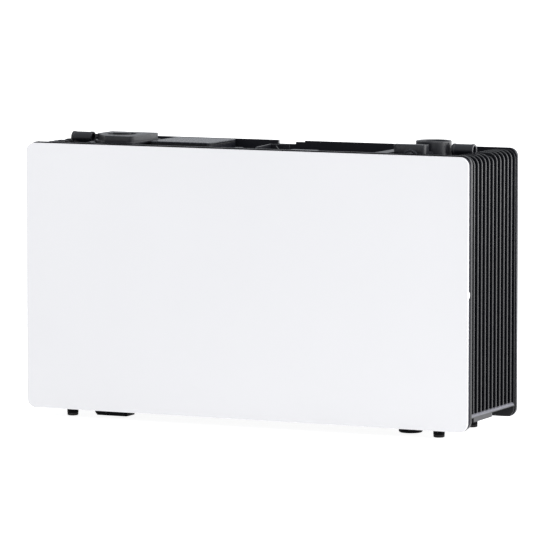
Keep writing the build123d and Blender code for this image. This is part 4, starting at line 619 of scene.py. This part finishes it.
def hub():
    """Conduit hub: a plain cylinder with a rounded rim and a screw thread down the bore.

    The thread is a helix: the bore's radius follows a triangle wave of height and angle with its crests
    and roots cut flat, which grows from nothing below the rim.
    """
    low, high = low_high("conduit_hub")
    centre = (low + high) / 2
    outer, foot, top = (high[0] - low[0]) / 2, low[2], high[2]
    angle = np.linspace(0, 2 * math.pi, HUB_SIDES, endpoint=False)
    depth = np.linspace(top - HUB_RIM, foot + THREAD_END, THREAD_ROWS)
    phase = depth[:, None] / THREAD_PITCH + angle[None, :] / (2 * math.pi)
    wave = np.abs(2 * (phase % 1) - 1)
    fade = np.clip((top - HUB_RIM - depth) / HUB_RIM, 0, 1)[:, None]
    thread = HUB_BORE_R + THREAD_DEPTH * fade * np.clip(1.4 * wave - 0.2, 0, 1)
    outside = [
        (outer, foot), (outer, foot + HUB_RIM), (outer, top - HUB_RIM), (outer, top - HUB_EDGE),
        (outer - 0.3 * HUB_EDGE, top - 0.3 * HUB_EDGE), (outer - HUB_EDGE, top),
        (HUB_BORE_R + 2.4 * MM, top), (HUB_BORE_R + 1 * MM, top - 0.6 * MM),
        (HUB_BORE_R + 0.2 * MM, top - 2.2 * MM),
    ]
    reach = np.concatenate([
        np.repeat([[r] for r, _ in outside], HUB_SIDES, axis=1),
        thread,
        np.full((1, HUB_SIDES), HUB_BORE_R),
    ])
    level = np.concatenate([[h for _, h in outside], depth, [foot]])
    flat = reach[..., None] * np.stack([np.cos(angle), np.sin(angle)], axis=-1)
    rings = placed(flat, level[:, None], "z") + (centre[0], centre[1], 0)
    return loft(rings, closed=True)


piece("conduit_hub_threaded", [hub()], "housing", "cast_dark", ["conduit_hub"], TOP_FINISH, HUB_SHARP)

# ---------------------------------------------------------------- cable gland

FLANGE_BORE_R = 12.6 * MM
FLANGE_LIP_R = 15 * MM         # inner edge of the flange's flat front
FLANGE_T = 4 * MM
FLANGE_SEAT_T = 3.2 * MM       # its thickness where the nut seats
NUT_R = 12 * MM
NUT_MOUTH_R = 6.2 * MM
NUT_RIBS = 28
NUT_GRIP = 0.35 * MM           # height of the ribs, up and down from the nut's middle radius
CABLE_R = 4.5 * MM
LIP_R = 1.1 * MM               # roll round the grommet's mouth
LIP_SINK = 2.2 * MM            # its middle, behind the nut's front


def knurl(angle):
    """Shallow ribs round the cap nut, as a share of its radius."""
    return 1 + NUT_GRIP / NUT_R * np.clip(1.5 * np.cos(NUT_RIBS * angle), -1, 1)


def gland():
    """Cable gland on the tower's front: a flange, a knurled cap nut and a soft grommet with a mouth."""
    low, high = low_high("gland_ring")
    middle = ((low[0] + high[0]) / 2, 0, (low[2] + high[2]) / 2)
    seat, outer = high[1], (high[0] - low[0]) / 2
    face = seat - FLANGE_T
    front, back = (y[1] for y in low_high("gland_sleeve"))
    flange = tube(
        [(FLANGE_BORE_R, seat), (outer, seat), (outer, face + 1.4 * MM),
         (outer - 0.5 * MM, face + 0.4 * MM), (outer - 1.6 * MM, face), (FLANGE_LIP_R, face),
         (FLANGE_LIP_R - 0.5 * MM, seat - FLANGE_SEAT_T), (FLANGE_BORE_R, seat - FLANGE_SEAT_T)],
        middle, "y",
    )
    body_r = NUT_R - NUT_GRIP
    profile = [
        (NUT_MOUTH_R, front + 3 * MM), (NUT_MOUTH_R, front + 0.8 * MM), (NUT_MOUTH_R + 0.8 * MM, front),
        (9.5 * MM, front), (11 * MM, front + 0.7 * MM), (body_r, front + 1.8 * MM), (body_r, back),
    ]
    nut = revolved(profile, middle, "y", 6 * NUT_RIBS, knurl, (5, 6))
    lip_y, end_y, lip_outer = front + LIP_SINK, back - 1 * MM, CABLE_R + 2 * LIP_R
    lips = [(CABLE_R, lip_y), *arc((CABLE_R + LIP_R, lip_y), LIP_R, 180, 360, 8),
            (lip_outer, end_y), (CABLE_R, end_y)]
    return [flange, nut], [tube(lips, middle, "y", 48)]


gland_body, gland_lips = gland()
piece("gland_nut", gland_body, "housing", "plastic_dark", ["gland_ring", "gland_sleeve"], LID_FINISH)
piece("gland_grommet", gland_lips, "housing", "rubber_black")

# ---------------------------------------------------------------- vent plug

VENT_FOOT_R = 13 * MM          # across the hexagon's flats, halved
VENT_FOOT_T = 6 * MM
VENT_WAIST_R = 9 * MM
VENT_CAP_R = 10.5 * MM
VENT_CAP_T = 12.5 * MM
VENT_DISH_R = 4 * MM           # shallow dish in the middle of the cap
VENT_SLOTS = 12
SLOT_DEPTH = 0.10              # as a share of the cap's radius
SLOT_LEVEL = 0.45              # a slot is open where the wave round the rim is above this


def slots(angle):
    """Rim drawn in at its slots."""
    return 1 - SLOT_DEPTH * (np.cos(VENT_SLOTS * angle) > SLOT_LEVEL)


def vent_plug():
    """Round vent plug: a hexagonal foot, a waist and a cap whose rim has breathing slots."""
    low, high = low_high("vent_plug")
    centre = ((low[0] + high[0]) / 2, (low[1] + high[1]) / 2, 0)
    under, top, cap = low[2], high[2], VENT_CAP_R
    foot = revolved(
        [(VENT_FOOT_R, under), (VENT_FOOT_R, under + VENT_FOOT_T - 1 * MM),
         (VENT_FOOT_R - 0.8 * MM, under + VENT_FOOT_T)],
        centre, shape=hexagon, shaped=(0, 1, 2),
    )
    body = revolved(
        [(VENT_WAIST_R, under), (VENT_WAIST_R, top - VENT_CAP_T - 1.5 * MM), (cap, top - VENT_CAP_T),
         (cap, top - 4 * MM), (cap, top - 3.6 * MM), (cap, top - 1.6 * MM),
         (cap - 0.6 * MM, top - 0.5 * MM), (cap - 2 * MM, top), (VENT_DISH_R, top),
         (VENT_DISH_R - 0.4 * MM, top - 0.5 * MM)],
        centre, "z", 12 * VENT_SLOTS, slots, (2, 3),
    )
    return [foot, body]


piece("vent_plug_cap", vent_plug(), "housing", "plastic_dark", ["vent_plug"])

# ---------------------------------------------------------------- lifting sleeves

SLEEVE_R = 14 * MM
SLEEVE_BORE_R = 9 * MM
SLEEVE_LENGTH = 50 * MM
SLEEVE_CHAMFER = 0.9 * MM
BORE_CHAMFER = 0.8 * MM
COLLAR_LENGTH = 6 * MM         # collar at each end of the barrel
COLLAR_SLOPE = 0.5 * MM
COLLAR_RISE = 0.7 * MM
WEB_LENGTH = 30 * MM
WEB_HALF_T = 6 * MM
WEB_TOP_DROP = 10 * MM         # web's top below the barrel's axis, within the barrel's wall
WEB_EDGE = 1.2 * MM
WEB_GAP = 0.3 * MM             # clearance to the heatsink
SLEEVE_PLATE_T = 5 * MM
SLEEVE_PLATE_CORNER_R = 4 * MM
SLEEVE_PLATE_EDGE = 1 * MM


def lifting_sleeve():
    """Right-hand sleeve: a barrel with a collar at each end, on a web and a foot plate."""
    low, high = low_high("lifting_sleeve_right")
    middle_y, axis_z = (low[1] + high[1]) / 2, high[2] - SLEEVE_R
    start, end = high[0] - SLEEVE_LENGTH, high[0]
    neck = SLEEVE_R - COLLAR_RISE
    barrel = tube(
        [(SLEEVE_BORE_R + BORE_CHAMFER, start), (SLEEVE_R - SLEEVE_CHAMFER, start),
         (SLEEVE_R, start + SLEEVE_CHAMFER), (SLEEVE_R, start + COLLAR_LENGTH),
         (neck, start + COLLAR_LENGTH + COLLAR_SLOPE), (neck, end - COLLAR_LENGTH - COLLAR_SLOPE),
         (SLEEVE_R, end - COLLAR_LENGTH), (SLEEVE_R, end - SLEEVE_CHAMFER),
         (SLEEVE_R - SLEEVE_CHAMFER, end), (SLEEVE_BORE_R + BORE_CHAMFER, end),
         (SLEEVE_BORE_R, end - BORE_CHAMFER), (SLEEVE_BORE_R, start + BORE_CHAMFER)],
        (0, middle_y, axis_z), "x",
    )
    web_end = low_high("heatsink_right")[0][0] - WEB_GAP
    web = bar(
        (web_end - WEB_LENGTH, web_end), (middle_y - WEB_HALF_T, middle_y + WEB_HALF_T),
        (low[2], axis_z - WEB_TOP_DROP), WEB_EDGE,
    )
    plate = bar(
        (low[0], web_end), (low[1], high[1]), (low[2], low[2] + SLEEVE_PLATE_T),
        SLEEVE_PLATE_EDGE, SLEEVE_PLATE_CORNER_R,
    )
    return [barrel, web, plate]


right_sleeve = lifting_sleeve()
piece("lifting_barrel_right", right_sleeve, "housing", "cast_dark", ["lifting_sleeve_right"], TOP_FINISH)
piece("lifting_barrel_left", mirrored(right_sleeve), "housing", "cast_dark", ["lifting_sleeve_left"],
      TOP_FINISH)

# ---------------------------------------------------------------- feet

FOOT_R = 12.5 * MM
FOOT_STUD_R = 5 * MM
FOOT_LOWER_CHAMFER = 0.6 * MM
FOOT_UPPER_CHAMFER = 1 * MM
PAD_INSET = 0.3 * MM           # pad's side inside the foot's
PAD_ROLL_R = 2.5 * MM


def feet():
    """Four turned feet with a stud into the tray, and under each a rubber pad with a rolled lower edge."""
    low, high = low_high("feet")
    tray = low_high("base_tray")[0][2]
    foot = [
        (FOOT_R - FOOT_LOWER_CHAMFER, low[2]), (FOOT_R, low[2] + FOOT_LOWER_CHAMFER),
        (FOOT_R, tray - FOOT_UPPER_CHAMFER), (FOOT_R - FOOT_UPPER_CHAMFER, tray), (FOOT_STUD_R, tray),
        (FOOT_STUD_R, high[2]),
    ]
    pad_r = FOOT_R - PAD_INSET
    pad = [*arc((pad_r - PAD_ROLL_R, PAD_ROLL_R), PAD_ROLL_R, -90, 0, 6), (pad_r, low[2])]
    across, along = ((low[axis] + FOOT_R, high[axis] - FOOT_R) for axis in (0, 1))
    spots = [(x, y, 0) for x in across for y in along]
    return [revolved(foot, spot) for spot in spots], [revolved(pad, spot) for spot in spots]


foot_shells, pad_shells = feet()
piece("feet_turned", foot_shells, "housing", "plastic_dark", ["feet"], UNDER_SHADED_FINISH)
piece("foot_pads_rolled", pad_shells, "housing", "rubber_black", ["foot_pads"])

# ---------------------------------------------------------------- studio and camera

FLOOR_R = 60.0
FLOOR_SIDES = 96
FLOOR_GLOW = 0.93              # strength of the floor's own light
WORLD_COLOUR = (0.96, 0.99, 1.04, 1.0)
WORLD_STRENGTH = 0.62
LAMP_AIM = (0.4, 0.0, 0.3)     # a point near the finned right side
SENSOR_WIDTH = 36.0            # millimetres, as the lens is
LENS_LENGTH = 321.33
CAMERA_TURN = 24.78            # degrees to the right of the front
CAMERA_TILT = 5.67             # degrees above level
CAMERA_DISTANCE = 10.566
CAMERA_TARGET = (0.0198, -0.0433, 0.3399)


def studio_floor():
    """Round pale floor lit from below like a light table, wide enough to fill every view."""
    angle = np.linspace(0, 2 * math.pi, FLOOR_SIDES, endpoint=False)
    ring = np.stack([FLOOR_R * np.cos(angle), FLOOR_R * np.sin(angle), np.zeros(FLOOR_SIDES)], axis=1)
    mesh = bpy.data.meshes.new("studio_floor")
    mesh.from_pydata(ring.tolist(), [], [tuple(range(FLOOR_SIDES))])
    floor = bpy.data.objects.new("studio_floor", mesh)
    bpy.context.scene.collection.objects.link(floor)
    f = Finish("floor_pale", (0.6, 0.6, 0.6), 0.9, 0.0, 0.0)
    f.link(f.blend(f.noise(2.0, 2), (0.59, 0.59, 0.59), (0.61, 0.61, 0.61)), "Base Color")
    f.set("Emission Color", (1.0, 1.0, 1.0, 1.0))
    f.set("Emission Strength", FLOOR_GLOW)
    mesh.materials.append(f.material)


def softbox(name, place, size, power):
    """Square area light at a place, aimed at the finned side and hidden from the camera."""
    light = bpy.data.lights.new(name, "AREA")
    light.shape = "SQUARE"
    light.size = size
    light.energy = power
    lamp = bpy.data.objects.new(name, light)
    lamp.location = place
    lamp.rotation_mode = "QUATERNION"
    lamp.rotation_quaternion = (Vector(LAMP_AIM) - Vector(place)).to_track_quat("-Z", "Y")
    lamp.visible_camera = False
    bpy.context.scene.collection.objects.link(lamp)


def sky_light(name, heading, elevation, spread, strength):
    """Distant light from a heading and an elevation, spread wide enough to cast soft shadows.

    Heading, elevation and spread are in degrees; the heading turns from the front to the right.
    """
    light = bpy.data.lights.new(name, "SUN")
    light.energy = strength
    light.angle = math.radians(spread)
    lamp = bpy.data.objects.new(name, light)
    turn, rise = math.radians(heading), math.radians(elevation)
    towards = Vector((math.sin(turn) * math.cos(rise), -math.cos(turn) * math.cos(rise), math.sin(rise)))
    lamp.rotation_mode = "QUATERNION"
    lamp.rotation_quaternion = (-towards).to_track_quat("-Z", "Y")
    bpy.context.scene.collection.objects.link(lamp)


def studio_world():
    """Even, nearly white surroundings."""
    world = bpy.data.worlds.new("studio")
    world.use_nodes = True
    background = world.node_tree.nodes["Background"]
    background.inputs["Color"].default_value = WORLD_COLOUR
    background.inputs["Strength"].default_value = WORLD_STRENGTH
    bpy.context.scene.world = world


def add_camera():
    """Long lens to the right of the front and a little above, aimed near the unit's middle."""
    turn, tilt = math.radians(CAMERA_TURN), math.radians(CAMERA_TILT)
    ahead = Vector((-math.sin(turn) * math.cos(tilt), math.cos(turn) * math.cos(tilt), -math.sin(tilt)))
    lens = bpy.data.cameras.new("camera")
    lens.sensor_width = SENSOR_WIDTH
    lens.lens = LENS_LENGTH
    lens.clip_start, lens.clip_end = 0.1, 200.0
    camera = bpy.data.objects.new("camera", lens)
    camera.location = Vector(CAMERA_TARGET) - CAMERA_DISTANCE * ahead
    camera.rotation_mode = "QUATERNION"
    camera.rotation_quaternion = ahead.to_track_quat("-Z", "Y")
    bpy.context.scene.collection.objects.link(camera)
    bpy.context.scene.camera = camera


studio_floor()
studio_world()
sky_light("light_overhead", heading=60.0, elevation=68.0, spread=40.0, strength=1.9)
softbox("light_right", (4.5, 1.2, 1.6), size=3.6, power=160)
softbox("light_behind_right", (2.9, 5.2, 1.4), size=3.4, power=72)
add_camera()
bpy.context.scene.view_settings.view_transform = "Standard"
